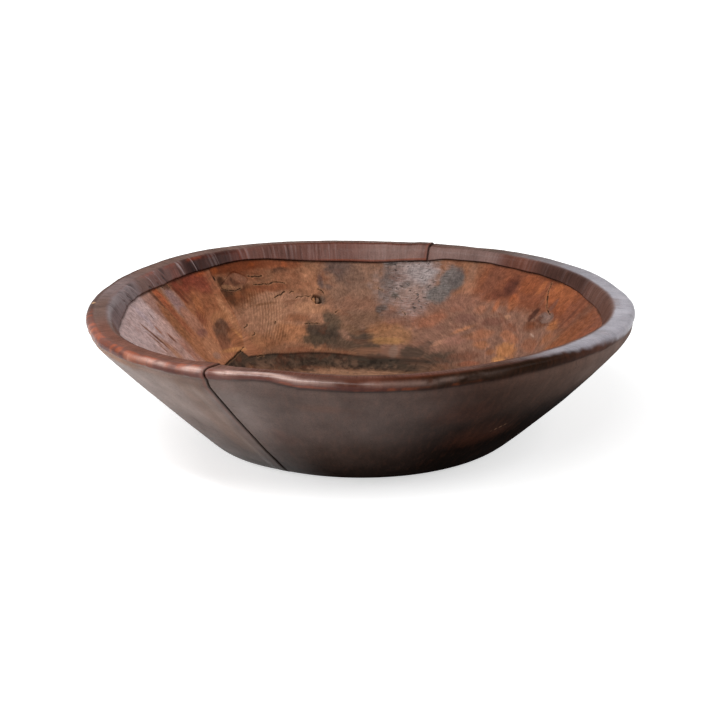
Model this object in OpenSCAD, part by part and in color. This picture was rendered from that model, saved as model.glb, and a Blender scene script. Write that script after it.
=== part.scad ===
// Round carved dough bowl, its outside and rim covered with two leather panels.
// +X is the right-hand side, +Y the back and +Z up. The bowl stands on z = 0.
// Azimuths run counterclockwise from +X, seen from above.

/* [Bowl over the leather] */
// Nominal width across the rim
bowl_w = 560; // [420:5:700]
// Height from the table to the top of the rim
bowl_h = 140; // [110:1:180]
// Nominal width of the flat base
base_w = 298; // [220:2:340]
// Length over which the wall turns under the base
base_round_l = 9; // [4:0.5:14]
// How far the outer wall swells beyond a straight line
wall_belly = 6; // [0:0.5:12]

/* [Rim] */
// Height of the upright side of the rim
rim_side_h = 22; // [14:1:34]
// How far the foot of the upright side lies inside the widest line
rim_side_lean = 3; // [0:0.5:6]
// Size of the rounded outer edge
rim_round_l = 8; // [5:0.5:11]
// Width of the rim's top, from the widest line to the flat land's inner edge
land_w = 19; // [14:0.5:21]
// Width from the widest line to the corner where the inner side starts
rim_w = 24; // [22:0.5:30]
// Length of the rounded inner shoulder, down the inner side
shoulder_l = 7; // [4:0.5:8]

/* [Leather] */
// Thickness of the leather
leather_t = 2; // [1.4:0.1:3]
// Clearance that the glue fills between leather and wood
glue_gap = 0.15; // [0.1:0.05:0.3]
// Height of the leather turned down inside the rim
inner_band_h = 15; // [12:1:22]
// Width of the leather turned under the base
base_margin_w = 27; // [18:1:40]
// Azimuth of the seam at the front
front_seam_deg = 240; // [225:1:255]
// Azimuth of the seam at the back
back_seam_deg = 72; // [60:1:85]
// Width of the lap at each seam, at the rim
lap_w = 14; // [8:1:20]
// Thickness of the pared tongue under each lap
tongue_t = 1; // [0.6:0.1:1.2]
// Width of the open groove beside each lap
groove_w = 1.2; // [0.6:0.1:2]

/* [Carved inside] */
// Height of the floor above the table
floor_h = 25; // [16:1:36]
// Width of the corner where floor and wall would meet
foot_w = 284; // [220:2:320]
// Length over which floor and wall blend
cove_l = 17; // [8:1:24]
// How much lower the middle of the floor is
floor_dish = 1; // [0.5:0.5:3]

/* [Knot] */
// Azimuth of the knot hole
knot_deg = 103.8; // [95:0.1:112]
// Distance down the wall from the leather's cut edge to the knot hole
knot_h = 52; // [40:1:68]
// Width of the knot hole
knot_hole_w = 11; // [9:0.5:14]
// Depth of the knot hole, square to the wall
knot_hole_l = 12; // [8:0.5:14]
// Width of the dead knot
knot_w = 8.4; // [6:0.1:8.6]
// Depth of the knot's face below the wall
knot_sink = 2.5; // [1:0.5:4]

/* [Filler patches] */
// Depth of both filled recesses
filler_l = 3; // [2:0.5:5]
// Clearance round the filler and the knot
inlay_gap = 0.1; // [0.05:0.05:0.3]
// Azimuth of the left patch
left_patch_deg = 126.2; // [120:0.1:130]
// Distance down the wall from the leather's cut edge to the middle of the left patch
left_patch_h = 25; // [21:0.5:32]
// Size of the left patch up the wall
left_patch_l = 27; // [18:1:29]
// Size of the left patch round the wall
left_patch_w = 37; // [24:1:44]
// Azimuth of the right patch
right_patch_deg = 25; // [18:0.5:34]
// Distance down the wall from the leather's cut edge to the middle of the right patch
right_patch_h = 35.5; // [24:0.5:44]
// Size of the right patch up the wall
right_patch_l = 31; // [20:1:34]
// Size of the right patch round the wall
right_patch_w = 38; // [24:1:44]

/* [Hidden] */

// The hand-made outline. Each table goes once round the bowl in equal steps from +X,
// and gives a share of the size that it follows.
// Rim radius, as shares of half the nominal width
rim_shares = [
    0.995, 0.995, 1.005, 1.00, 0.985, 0.97, 0.97, 1.00, 1.025, 1.03, 1.005, 0.995,
    0.995, 1.005, 1.025, 1.02, 0.99, 0.965, 0.975, 0.965, 0.945, 0.945, 0.965, 0.985
];
// Base radius, as shares of half the base width
base_shares = [
    1.00, 1.00, 1.00, 1.00, 1.00, 1.00, 1.00, 1.00, 1.01, 1.02, 1.02, 1.02,
    1.02, 1.02, 1.03, 1.02, 1.00, 1.00, 1.00, 1.00, 1.00, 1.00, 1.00, 1.00
];
// Belly of the outer wall
belly_shares = [
    1.0, 1.0, 1.0, 1.0, 1.0, 1.0, 1.0, 1.0, 1.0, 1.0, 0.95, 0.9,
    0.8, 0.5, 0.3, 0.3, 0.7, 1.0, 1.0, 1.0, 1.0, 1.0, 1.0, 1.0
];
// Height of the rim's upright side
side_shares = [
    1.0, 1.0, 1.0, 1.0, 1.0, 1.0, 1.0, 1.0, 1.0, 1.0, 0.9, 0.8,
    0.7, 0.65, 0.65, 0.7, 0.9, 1.0, 1.0, 1.0, 1.0, 1.0, 1.0, 1.0
];
// Width of the flat land, which narrows to a round roll at the front
land_shares = [
    1.0, 1.0, 1.08, 1.08, 1.0, 1.05, 1.0, 1.08, 1.08, 1.08, 1.05, 1.0,
    1.0, 1.0, 1.0, 1.0, 0.95, 0.75, 0.68, 0.65, 0.65, 0.7, 0.85, 1.0
];
// Height of the leather inside the rim, which its maker cut by eye
band_shares = [
    1.10, 1.05, 0.87, 0.80, 0.72, 1.03, 1.20, 1.10, 0.78, 0.95, 1.05, 0.95,
    1.20, 1.10, 1.00, 1.10, 1.00, 1.00, 1.05, 1.00, 0.95, 1.00, 1.05, 1.10
];
// Outlines of the two patches: shares of the size up the wall and of the size round it
left_patch_shares = [
    [-0.50, 0.22], [-0.42, -0.06], [-0.26, -0.30], [0.00, -0.50], [0.22, -0.44],
    [0.50, -0.14], [0.34, 0.10], [0.18, 0.24], [-0.06, 0.50], [-0.32, 0.44]
];
right_patch_shares = [
    [0.50, 0.26], [0.12, 0.30], [-0.20, 0.46], [-0.44, 0.50],
    [-0.50, 0.10], [-0.46, -0.28], [-0.30, -0.50], [0.00, -0.20], [0.28, 0.10]
];

// Azimuth between two neighbouring cross-sections, at most
section_deg = 5;
// Slope of the inner side of the rim
band_slope_deg = 62;
// Straight pieces in the outer wall, and points on each rounded corner
wall_steps = 5;
round_steps = 3;
// Circle resolution of the knot and its hole
knot_facets = 48;
// How far the cuts run past a surface
overrun = 6;

rim_r = bowl_w / 2;
base_r = base_w / 2;
foot_r = foot_w / 2;
wood_depth = leather_t + glue_gap;
// The lap keeps its full thickness over the tongue, so it stands this much proud
lap_lift = tongue_t + glue_gap;
lap_inner_depth = leather_t - tongue_t - glue_gap;
tongue_depth = leather_t - tongue_t;

// Angles that widths along the rim take up
function rim_angle(width) = width / rim_r * 180 / PI;
lap_deg = rim_angle(lap_w);
groove_deg = rim_angle(groove_w);
bevel_deg = rim_angle(tongue_depth);
ramp_deg = lap_deg;

// Smooth value of a share table at an azimuth
function smooth(b, a, c, d, t) =
    b + t * (c - a) / 2 + t * t * (2 * a - 5 * b + 4 * c - d) / 2
    + t * t * t * (3 * b - 3 * c + d - a) / 2;
function share_at(table, deg) =
    let (n = len(table), u = (deg + 360) % 360 / 360 * n, i = floor(u))
    smooth(table[i % n], table[(i + n - 1) % n], table[(i + 1) % n], table[(i + 2) % n], u - i);

// Inner points of the curve that rounds the corner b between a and c
function rounded(a, b, c) =
    [for (i = [1:round_steps - 1])
        let (t = i / round_steps) a * (1 - t) * (1 - t) + b * 2 * t * (1 - t) + c * t * t];

function rim_radius(deg) = rim_r * share_at(rim_shares, deg);
function base_radius(deg) = base_r * share_at(base_shares, deg);

// Outer wall from the base, t = 0, to the foot of the rim's upright side, t = 1
function wall_at(deg, t) = [
    base_radius(deg) * (1 - t) + (rim_radius(deg) - rim_side_lean) * t
        + wall_belly * share_at(belly_shares, deg) * 4 * t * (1 - t),
    (bowl_h - rim_side_h * share_at(side_shares, deg)) * t
];

// Corner of the rim's top and inner side, and the direction down that side
function shoulder_corner(deg) = [rim_radius(deg) - rim_w, bowl_h];
band_down = [-cos(band_slope_deg), -sin(band_slope_deg)];
function cut_edge(deg) =
    shoulder_corner(deg)
    + band_down * inner_band_h * share_at(band_shares, deg) / sin(band_slope_deg);

// Outer face of the leather as [radius, height], from its edge under the base,
// up the wall and over the rim, to its cut edge inside
function skin(deg) =
    let (
        rim = rim_radius(deg),
        base = base_radius(deg),
        turn = base_round_l / norm(wall_at(deg, 1) - [base, 0]),
        side_top = [rim, bowl_h - rim_round_l],
        land_start = [rim - rim_round_l, bowl_h],
        land_end = [rim - land_w * share_at(land_shares, deg), bowl_h],
        band_start = shoulder_corner(deg) + band_down * shoulder_l
    )
    concat(
        [[base - base_margin_w, 0], [base - base_round_l, 0]],
        rounded([base - base_round_l, 0], [base, 0], wall_at(deg, turn)),
        [wall_at(deg, turn)],
        [for (i = [1:wall_steps]) wall_at(deg, i / wall_steps)],
        [side_top],
        rounded(side_top, [rim, bowl_h], land_start),
        [land_start, land_end],
        rounded(land_end, shoulder_corner(deg), band_start),
        [band_start, cut_edge(deg)]
    );
skin_n = len(skin(0));
// Points of the skin under the base and round its corner
base_n = 2 + round_steps;

// Points of a cross-section moved into the wood by the depth of each
function unit(v) = v / norm(v);
function inward(v) = [-v.y, v.x];
function sunk(points, depths) =
    let (last = len(points) - 1)
    [for (i = [0:last])
        let (
            before = inward(unit(points[max(i, 1)] - points[max(i, 1) - 1])),
            after = inward(unit(points[min(i, last - 1) + 1] - points[min(i, last - 1)]))
        )
        points[i] + (before + after) * depths[i] / (1 + before * after)];
function even_depth(depth) = [for (i = [0:skin_n - 1]) depth];
// The lap stands proud on the wall and the rim, and lies flush under the base
lap_outer_depths = [for (i = [0:skin_n - 1]) i < base_n ? 0 : -lap_lift];

function around(point, deg) = [point.x * cos(deg), point.x * sin(deg), point.y];

// Azimuths of the cross-sections. Wood and leather share them, so their faces match.
function even_steps(first, last) =
    let (n = max(1, ceil((last - first) / section_deg)))
    [for (i = [0:n]) first + (last - first) * i / n];
left_field = even_steps(
    back_seam_deg + lap_deg + ramp_deg, front_seam_deg - lap_deg - ramp_deg);
right_field = even_steps(
    front_seam_deg + groove_deg + bevel_deg, back_seam_deg + 360 - groove_deg - bevel_deg);
back_lap = [back_seam_deg, back_seam_deg + lap_deg];
front_lap = [front_seam_deg - lap_deg, front_seam_deg];
wood_sections = concat(
    back_lap, left_field, front_lap, [front_seam_deg + groove_deg],
    right_field, [back_seam_deg + 360 - groove_deg]);

// Cross-section of a leather panel as one closed loop
function panel_loop(deg, outer_depths, inner_depths) =
    let (
        outside = sunk(skin(deg), outer_depths),
        inside = sunk(skin(deg), inner_depths)
    )
    [for (i = [0:2 * skin_n - 1]) around(i < skin_n ? outside[i] : inside[2 * skin_n - 1 - i], deg)];
function field_loop(deg) = panel_loop(deg, even_depth(0), even_depth(leather_t));
function lap_loop(deg) = panel_loop(deg, lap_outer_depths, even_depth(lap_inner_depth));
function tongue_loop(deg) = panel_loop(deg, even_depth(tongue_depth), even_depth(leather_t));

// Closed strip of leather through a list of loops
module leather_panel(loops) {
    m = 2 * skin_n;
    last = (len(loops) - 1) * m;
    points = [for (loop = loops) each loop];
    sides = [for (k = [0:len(loops) - 2], i = [0:m - 1])
        let (a = k * m + i, b = k * m + (i + 1) % m)
        each [[a, a + m, b], [b, a + m, b + m]]];
    ends = [for (i = [0:skin_n - 2])
        let (a = i, b = i + 1, c = m - 2 - i, d = m - 1 - i)
        each [[a, b, c], [a, c, d], [last + b, last + a, last + c], [last + c, last + a, last + d]]];
    polyhedron(points = points, faces = concat(sides, ends), convexity = 8);
}

// Inner wall of the wood: its top under the leather's cut edge, its foot and its slope
function wall_top(deg) = let (p = sunk(skin(deg), even_depth(wood_depth))) p[skin_n - 1];
foot = [foot_r, floor_h];
function wall_slope(deg) =
    let (v = wall_top(deg) - foot) atan2(v.y, v.x);
function wall_point(deg, down) =
    let (top = wall_top(deg)) top + unit(foot - top) * down;

// Wood surface as [radius, height], from under the base to the edge of the floor
function wood_section(deg) =
    let (
        top = wall_top(deg),
        cove_top = foot + unit(top - foot) * cove_l,
        cove_end = foot - [cove_l, 0]
    )
    concat(
        sunk(skin(deg), even_depth(wood_depth)),
        [(top + cove_top) / 2, cove_top],
        rounded(cove_top, foot, cove_end),
        [cove_end]
    );

module wood_blank() {
    rings = [for (deg = wood_sections) [for (p = wood_section(deg)) around(p, deg)]];
    m = len(rings[0]);
    n = len(rings);
    points = concat(
        [for (ring = rings) each ring],
        [[0, 0, wood_depth], [0, 0, floor_h - floor_dish]]);
    sides = [for (k = [0:n - 1], i = [0:m - 2])
        let (a = k * m + i, b = (k + 1) % n * m + i)
        each [[a, b, a + 1], [a + 1, b, b + 1]]];
    caps = [for (k = [0:n - 1])
        let (a = k * m, b = (k + 1) % n * m)
        each [[n * m, b, a], [n * m + 1, a + m - 1, b + m - 1]]];
    polyhedron(points = points, faces = concat(sides, caps), convexity = 8);
}

// Puts children on the inner wall: their Z points into the bowl and their X up the wall
module on_inner_wall(deg, down) {
    translate(around(wall_point(deg, down), deg))
        rotate([0, 0, deg])
            rotate([0, -wall_slope(deg), 0])
                children();
}

module patch_outline(shares, size_up, size_round) {
    polygon([for (s = shares) [s.x * size_up, s.y * size_round]]);
}

module left_patch_outline() {
    patch_outline(left_patch_shares, left_patch_l, left_patch_w);
}

module right_patch_outline() {
    patch_outline(right_patch_shares, right_patch_l, right_patch_w);
}

// Recess in the wall, from its floor outwards
module recess() {
    translate([0, 0, -filler_l])
        linear_extrude(filler_l + overrun)
            children();
}

// Filler that fills a recess up to the wall
module filler() {
    translate([0, 0, inlay_gap - filler_l])
        linear_extrude(filler_l - inlay_gap)
            offset(delta = -inlay_gap)
                children();
}

// Solid wood, with the knot hole and the two filled recesses
module carved_bowl() {
    color([0.42, 0.25, 0.16])
        difference() {
            wood_blank();
            on_inner_wall(knot_deg, knot_h)
                translate([0, 0, -knot_hole_l])
                    cylinder(h = knot_hole_l + overrun, d = knot_hole_w, $fn = knot_facets);
            on_inner_wall(left_patch_deg, left_patch_h)
                recess()
                    left_patch_outline();
            on_inner_wall(right_patch_deg, right_patch_h)
                recess()
                    right_patch_outline();
        }
}

// Panel over the left of the bowl. Both of its ends lap over the other panel.
module left_leather_cover() {
    color([0.27, 0.15, 0.11])
        leather_panel(concat(
            [for (deg = back_lap) lap_loop(deg)],
            [for (deg = left_field) field_loop(deg)],
            [for (deg = front_lap) lap_loop(deg)]
        ));
}

// Panel over the right of the bowl, with a pared tongue at each end
module right_leather_cover() {
    color([0.22, 0.13, 0.1])
        leather_panel(concat(
            [for (deg = front_lap) tongue_loop(deg)],
            [tongue_loop(front_seam_deg + groove_deg)],
            [for (deg = right_field) field_loop(deg)],
            [tongue_loop(back_seam_deg + 360 - groove_deg)],
            [for (deg = back_lap) tongue_loop(deg + 360)]
        ));
}

// Dead knot that sits at the bottom of its hole, against the left side
module dead_knot() {
    color([0.5, 0.33, 0.2])
        on_inner_wall(knot_deg, knot_h)
            translate([0, (knot_hole_w - knot_w) / 2 - inlay_gap, inlay_gap - knot_hole_l])
                cylinder(h = knot_hole_l - inlay_gap - knot_sink, d = knot_w, $fn = knot_facets);
}

// Wood filler in the wall under the rim, at the back left
module left_filler_patch() {
    color([0.52, 0.34, 0.22])
        on_inner_wall(left_patch_deg, left_patch_h)
            filler()
                left_patch_outline();
}

// Darker filler where a split was mended, at the right
module right_filler_patch() {
    color([0.3, 0.2, 0.17])
        on_inner_wall(right_patch_deg, right_patch_h)
            filler()
                right_patch_outline();
}

carved_bowl();
left_leather_cover();
right_leather_cover();
dead_knot();
left_filler_patch();
right_filler_patch();
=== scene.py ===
import math

import bpy
import numpy as np
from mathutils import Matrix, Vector

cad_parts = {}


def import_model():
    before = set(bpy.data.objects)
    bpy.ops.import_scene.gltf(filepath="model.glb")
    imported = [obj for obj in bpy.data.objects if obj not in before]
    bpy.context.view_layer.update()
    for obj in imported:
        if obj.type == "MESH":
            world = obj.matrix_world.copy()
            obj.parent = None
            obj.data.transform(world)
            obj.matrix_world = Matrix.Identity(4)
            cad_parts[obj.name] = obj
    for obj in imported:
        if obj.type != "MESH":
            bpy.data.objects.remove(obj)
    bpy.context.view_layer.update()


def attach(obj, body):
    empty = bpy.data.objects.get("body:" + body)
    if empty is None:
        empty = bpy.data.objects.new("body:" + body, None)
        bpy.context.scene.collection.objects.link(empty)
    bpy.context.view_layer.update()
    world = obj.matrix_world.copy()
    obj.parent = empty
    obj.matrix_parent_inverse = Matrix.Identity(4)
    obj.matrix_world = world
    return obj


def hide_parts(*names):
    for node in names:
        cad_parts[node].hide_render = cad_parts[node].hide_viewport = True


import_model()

# A round carved dough bowl, its outside and rim covered with two leather panels.
# Shapes are worked out in millimetres: +X right, +Y back, +Z up, the bowl stands on z = 0.
# Azimuths run counterclockwise from +X, in degrees. A place down a surface is in mm along it.
MM = 0.001

# Sizes of the bowl, the leather and the inlays
RIM_R, BOWL_H, BASE_R = 280.0, 140.0, 149.0
BASE_ROUND_L, WALL_BELLY = 9.0, 6.0
RIM_SIDE_H, RIM_SIDE_LEAN, RIM_ROUND_L = 22.0, 3.0, 8.0
LAND_W, RIM_W, SHOULDER_L = 19.0, 24.0, 7.0
LEATHER_T, GLUE_GAP = 2.0, 0.15
BAND_H, BAND_SLOPE, BASE_MARGIN_W = 15.0, math.radians(62), 27.0
FRONT_SEAM, BACK_SEAM, LAP_W, TONGUE_T, GROOVE_W = 240.0, 72.0, 14.0, 1.0, 1.2
FLOOR_H, FOOT_R, COVE_L, FLOOR_DISH = 25.0, 142.0, 17.0, 1.0
KNOT_DEG, KNOT_DOWN, KNOT_HOLE_W, KNOT_HOLE_L, KNOT_W = 103.8, 52.0, 11.0, 12.0, 8.4
FILLER_L, INLAY_GAP = 3.0, 0.1

# Filler patches: azimuth, distance below the leather's cut edge, height up the wall, width round it
LEFT_PATCH = (126.2, 25.0, 27.0, 37.0)
RIGHT_PATCH = (25.0, 35.5, 31.0, 38.0)

WOOD_DEPTH = LEATHER_T + GLUE_GAP
LAP_LIFT = TONGUE_T + GLUE_GAP

# The hand-made outline, as shares of the sizes, every 15 degrees from +X
RIM_SHARES = [
    0.995, 0.995, 1.005, 1.00, 0.985, 0.97, 0.97, 1.00, 1.025, 1.03, 1.005, 0.995,
    0.995, 1.005, 1.025, 1.02, 0.99, 0.965, 0.975, 0.965, 0.945, 0.945, 0.965, 0.985]
BASE_SHARES = [
    1.00, 1.00, 1.00, 1.00, 1.00, 1.00, 1.00, 1.00, 1.01, 1.02, 1.02, 1.02,
    1.02, 1.02, 1.03, 1.02, 1.00, 1.00, 1.00, 1.00, 1.00, 1.00, 1.00, 1.00]
BELLY_SHARES = [
    1.0, 1.0, 1.0, 1.0, 1.0, 1.0, 1.0, 1.0, 1.0, 1.0, 0.95, 0.9,
    0.8, 0.5, 0.3, 0.3, 0.7, 1.0, 1.0, 1.0, 1.0, 1.0, 1.0, 1.0]
SIDE_SHARES = [
    1.0, 1.0, 1.0, 1.0, 1.0, 1.0, 1.0, 1.0, 1.0, 1.0, 0.9, 0.8,
    0.7, 0.65, 0.65, 0.7, 0.9, 1.0, 1.0, 1.0, 1.0, 1.0, 1.0, 1.0]
LAND_SHARES = [
    1.0, 1.0, 1.08, 1.08, 1.0, 1.05, 1.0, 1.08, 1.08, 1.08, 1.05, 1.0,
    1.0, 1.0, 1.0, 1.0, 0.95, 0.75, 0.68, 0.65, 0.65, 0.7, 0.85, 1.0]
BAND_SHARES = [
    1.10, 1.05, 0.87, 0.80, 0.72, 1.03, 1.20, 1.10, 0.78, 0.95, 1.05, 0.95,
    1.20, 1.10, 1.00, 1.10, 1.00, 1.00, 1.05, 1.00, 0.95, 1.00, 1.05, 1.10]

# Outlines of the filler patches, as shares of their height and width
LEFT_PATCH_SHARES = [
    (-0.50, 0.22), (-0.42, -0.06), (-0.26, -0.30), (0.00, -0.50), (0.22, -0.44),
    (0.50, -0.14), (0.34, 0.10), (0.18, 0.24), (-0.06, 0.50), (-0.32, 0.44)]
RIGHT_PATCH_SHARES = [
    (0.50, 0.26), (0.12, 0.30), (-0.20, 0.46), (-0.44, 0.50),
    (-0.50, 0.10), (-0.46, -0.28), (-0.30, -0.50), (0.00, -0.20), (0.28, 0.10)]


# Numbers and noise

NOISE_CELLS, FAR_AWAY = 512, 1e6


def ramp(low, high, x):
    """0 before low, 1 after high and smooth between them. It falls where low is above high."""
    t = np.clip((x - low) / (high - low), 0, 1)
    return t * t * (3 - 2 * t)


def window(x, start, full, fading, end):
    """0 up to start, 1 from full to fading, and 0 again from end on."""
    return ramp(start, full, x) * ramp(end, fading, x)


def hump(x, centre, width):
    """1 at the centre, falling smoothly to nothing about two widths away."""
    return np.exp(-((x - centre) / width) ** 2)


def turn_from(deg, centre):
    """Signed azimuth from a centre, -180 to 180."""
    return np.mod(deg - centre + 180, 360) - 180


def around(deg, centre, width):
    """A hump in azimuth."""
    return hump(turn_from(deg, centre), 0, width)


def spline(four, t):
    """Smooth curve between the second and the third of four points, at a share t of the way."""
    a, b, c, d = four
    return (b + t * (c - a) / 2 + t * t * (2 * a - 5 * b + 4 * c - d) / 2
            + t ** 3 * (3 * b - 3 * c + d - a) / 2)


def share(table, deg):
    """Smooth value of a share table at azimuths."""
    table = np.array(table)
    n = len(table)
    u = np.mod(deg, 360.0) / 360.0 * n
    i = np.floor(u).astype(int)
    return spline([table[(i + k) % n] for k in (-1, 0, 1, 2)], u - i)


def noise(x, y, seed, wrap=NOISE_CELLS):
    """Smooth noise from -1 to 1 with cells of size 1. It repeats after wrap cells in x."""
    table = np.random.default_rng(seed).uniform(-1, 1, (NOISE_CELLS, NOISE_CELLS))
    xi, yi = np.floor(x).astype(int), np.floor(y).astype(int)
    fx, fy = x - xi, y - yi
    fx, fy = fx * fx * (3 - 2 * fx), fy * fy * (3 - 2 * fy)
    x0, x1, y0, y1 = xi % wrap, (xi + 1) % wrap, yi % NOISE_CELLS, (yi + 1) % NOISE_CELLS
    low = table[x0, y0] * (1 - fx) + table[x1, y0] * fx
    high = table[x0, y1] * (1 - fx) + table[x1, y1] * fx
    return low * (1 - fy) + high * fy


def round_noise(deg, along, cells, length, seed, octaves=2):
    """Noise round the bowl: cells per turn, and a length along the profile in mm."""
    total, weight = 0.0, 0.0
    for k in range(octaves):
        f = 2 ** k
        total = total + noise(deg / 360 * cells * f, along / length * f + 31 * k, seed + k,
                              wrap=cells * f) / f
        weight += 1 / f
    return total / weight


# Colours, written as six hexadecimal digits

def linear(colour):
    """Linear RGB of a colour."""
    srgb = np.array([int(colour[i:i + 2], 16) for i in (0, 2, 4)]) / 255
    return np.where(srgb <= 0.04045, srgb / 12.92, ((srgb + 0.055) / 1.055) ** 2.4)


def plain(shape, colour):
    """A grid of one colour."""
    return np.ones((*shape, 3)) * linear(colour)


def laid(paint, colour, mask):
    """Paint with a colour laid over it, as strongly as the mask says."""
    return paint + (linear(colour) - paint) * mask[..., None]


# The leather's skin: rows of the profile, from its edge under the base to its cut edge inside

ROWS = {"margin": 7, "corner": 8, "wall": 62, "side": 9, "round": 12, "land": 10,
        "shoulder": 11, "band": 13}
SKIN_ROWS = sum(ROWS.values()) + 1
ENDS = np.cumsum([0] + list(ROWS.values()))
LAND_END_ROW = ENDS[6]
SOFTENING, SIDE_SOFTENING = 2, 10


def rim_radius(deg):
    return RIM_R * share(RIM_SHARES, deg)


def base_radius(deg):
    return BASE_R * share(BASE_SHARES, deg)


def point(r, z):
    return np.stack(np.broadcast_arrays(r, z), -1).astype(float)


def wall_at(deg, t):
    r = (base_radius(deg) * (1 - t) + (rim_radius(deg) - RIM_SIDE_LEAN) * t
         + WALL_BELLY * share(BELLY_SHARES, deg) * 4 * t * (1 - t))
    return point(r, (BOWL_H - RIM_SIDE_H * share(SIDE_SHARES, deg)) * t)


def cut_height(deg):
    """Height of the leather turned down inside, cut by eye."""
    wobble = 0.7 * round_noise(deg, 0 * deg, 46, 9, 5)
    wavy = 0.6 * round_noise(deg, 0 * deg, 150, 9, 6, 1) * around(deg, 150, 24)
    aside = turn_from(deg, BACK_SEAM)
    beside_seam = -1.6 * hump(aside, -5, 3) * (aside < 0)
    return BAND_H * share(BAND_SHARES, deg) + wobble + wavy + beside_seam


def skin_corners(deg):
    """Corner points of the profile at azimuths, as arrays of [radius, height]."""
    rim, base = rim_radius(deg), base_radius(deg)
    top = wall_at(deg, 1.0)
    turn = BASE_ROUND_L / np.linalg.norm(top - point(base, 0), axis=-1)
    land = LAND_W * share(LAND_SHARES, deg)
    down = np.array([-math.cos(BAND_SLOPE), -math.sin(BAND_SLOPE)])
    corner = point(rim - RIM_W, BOWL_H)
    return {
        "edge": point(base - BASE_MARGIN_W, 0), "flat": point(base - BASE_ROUND_L, 0),
        "base": point(base, 0), "turn": turn, "wall": wall_at(deg, turn), "top": top,
        "side": point(rim, BOWL_H - RIM_ROUND_L), "rim": point(rim, BOWL_H),
        "land": point(rim - RIM_ROUND_L, BOWL_H), "land_end": point(rim - land, BOWL_H),
        "corner": corner, "band": corner + down * SHOULDER_L,
        "cut": corner + down * (cut_height(deg) / math.sin(BAND_SLOPE))[..., None],
    }


def skin(deg):
    """Profile points over a grid of azimuths (columns, SKIN_ROWS)."""
    c = skin_corners(deg)
    out = np.zeros(deg.shape + (2,))
    out[:, 0] = c["edge"][:, 0]

    def straight(a, b):
        return lambda rows, t: c[a][:, rows] * (1 - t[..., None]) + c[b][:, rows] * t[..., None]

    def bent(a, b, d):
        return lambda rows, t: (c[a][:, rows] * (1 - t[..., None]) ** 2
                                + c[b][:, rows] * (2 * t * (1 - t))[..., None]
                                + c[d][:, rows] * t[..., None] ** 2)

    def up_wall(rows, t):
        turn = c["turn"][:, rows]
        return wall_at(deg[:, rows], turn + (1 - turn) * t)

    curves = [straight("edge", "flat"), bent("flat", "base", "wall"), up_wall, straight("top", "side"),
              bent("side", "rim", "land"), straight("land", "land_end"),
              bent("land_end", "corner", "band"), straight("band", "cut")]
    for curve, start, end in zip(curves, ENDS, ENDS[1:]):
        t = np.linspace(0, 1, end - start + 1)[1:][None, :]
        out[:, start + 1:end + 1] = curve(slice(start + 1, end + 1), t)

    def soften(times, first, last):
        for _ in range(times):
            out[:, first:last] = (out[:, first - 1:last - 1] + 2 * out[:, first:last]
                                  + out[:, first + 1:last + 1]) / 4

    soften(SOFTENING, 1, SKIN_ROWS - 1)
    soften(SIDE_SOFTENING, ENDS[2] - SIDE_SOFTENING, ENDS[3] + 2)
    return out


def outward(profile):
    """Unit normals of a profile, away from the wood."""
    step = np.gradient(profile, axis=1)
    normal = np.stack([step[..., 1], -step[..., 0]], -1)
    return normal / np.linalg.norm(normal, axis=-1, keepdims=True)


def down_the_wall(profile):
    """Distance along the profile from the land's inner edge: outwards positive, inside negative."""
    length = np.linalg.norm(np.diff(profile, axis=1), axis=-1)
    along = np.concatenate([np.zeros((len(profile), 1)), np.cumsum(length, axis=1)], axis=1)
    return along[:, LAND_END_ROW:LAND_END_ROW + 1] - along


def to_xyz(profile, deg):
    a = np.radians(deg)
    return np.stack([profile[..., 0] * np.cos(a), profile[..., 0] * np.sin(a), profile[..., 1]], -1)


# The front seam leans: its azimuth at places down the skin, from the inner edge to the base
SEAM_LEAN = ([-20, 0, 18, 40, 110, 200], [-1.0, -0.7, -1.3, 0.0, 1.1, 2.0])
SEAM_LEAN_WIDTH = 16.0


def leaned(deg, down):
    lean = np.interp(down, *SEAM_LEAN)
    return deg + lean * around(deg, FRONT_SEAM, SEAM_LEAN_WIDTH)


# Meshes: grids of columns round the bowl, and rows down each column

def bowl_grid(columns, rows):
    return columns[:, None] + np.zeros((1, rows))


def grid_quads(columns, rows, first=0, wrap=False, flip=False):
    """Quads of a grid whose vertices run down each column."""
    k = np.arange(columns if wrap else columns - 1)
    a = (k[:, None] * rows + np.arange(rows - 1)[None, :]).ravel()
    b = (((k + 1) % columns)[:, None] * rows + np.arange(rows - 1)[None, :]).ravel()
    quads = np.stack([a, b, b + 1, a + 1], 1) + first
    return (quads[:, ::-1] if flip else quads).tolist()


def closed_faces(columns, rows, flip=False):
    """Faces of a wrapped grid, and fans from its two ends to two points that follow the grid's."""
    faces = grid_quads(columns, rows, wrap=True, flip=flip)
    k = np.arange(columns)
    after = (k + 1) % columns
    for centre, row, turned in ((0, 0, not flip), (1, rows - 1, flip)):
        first, second = (after, k) if turned else (k, after)
        fan = [0 * k + columns * rows + centre, first * rows + row, second * rows + row]
        faces += np.stack(fan, 1).tolist()
    return faces


def listed(grid, *ends):
    """A grid's values as one list, followed by those of its end points."""
    return np.concatenate([grid.reshape(-1, *grid.shape[2:]), *ends])


def wrapped(deg, down, radius):
    """Places for the grain, in metres: round a cylinder, and down the surface."""
    a = np.radians(deg)
    return np.stack([radius * np.cos(a), radius * np.sin(a), down], -1) * MM


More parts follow.
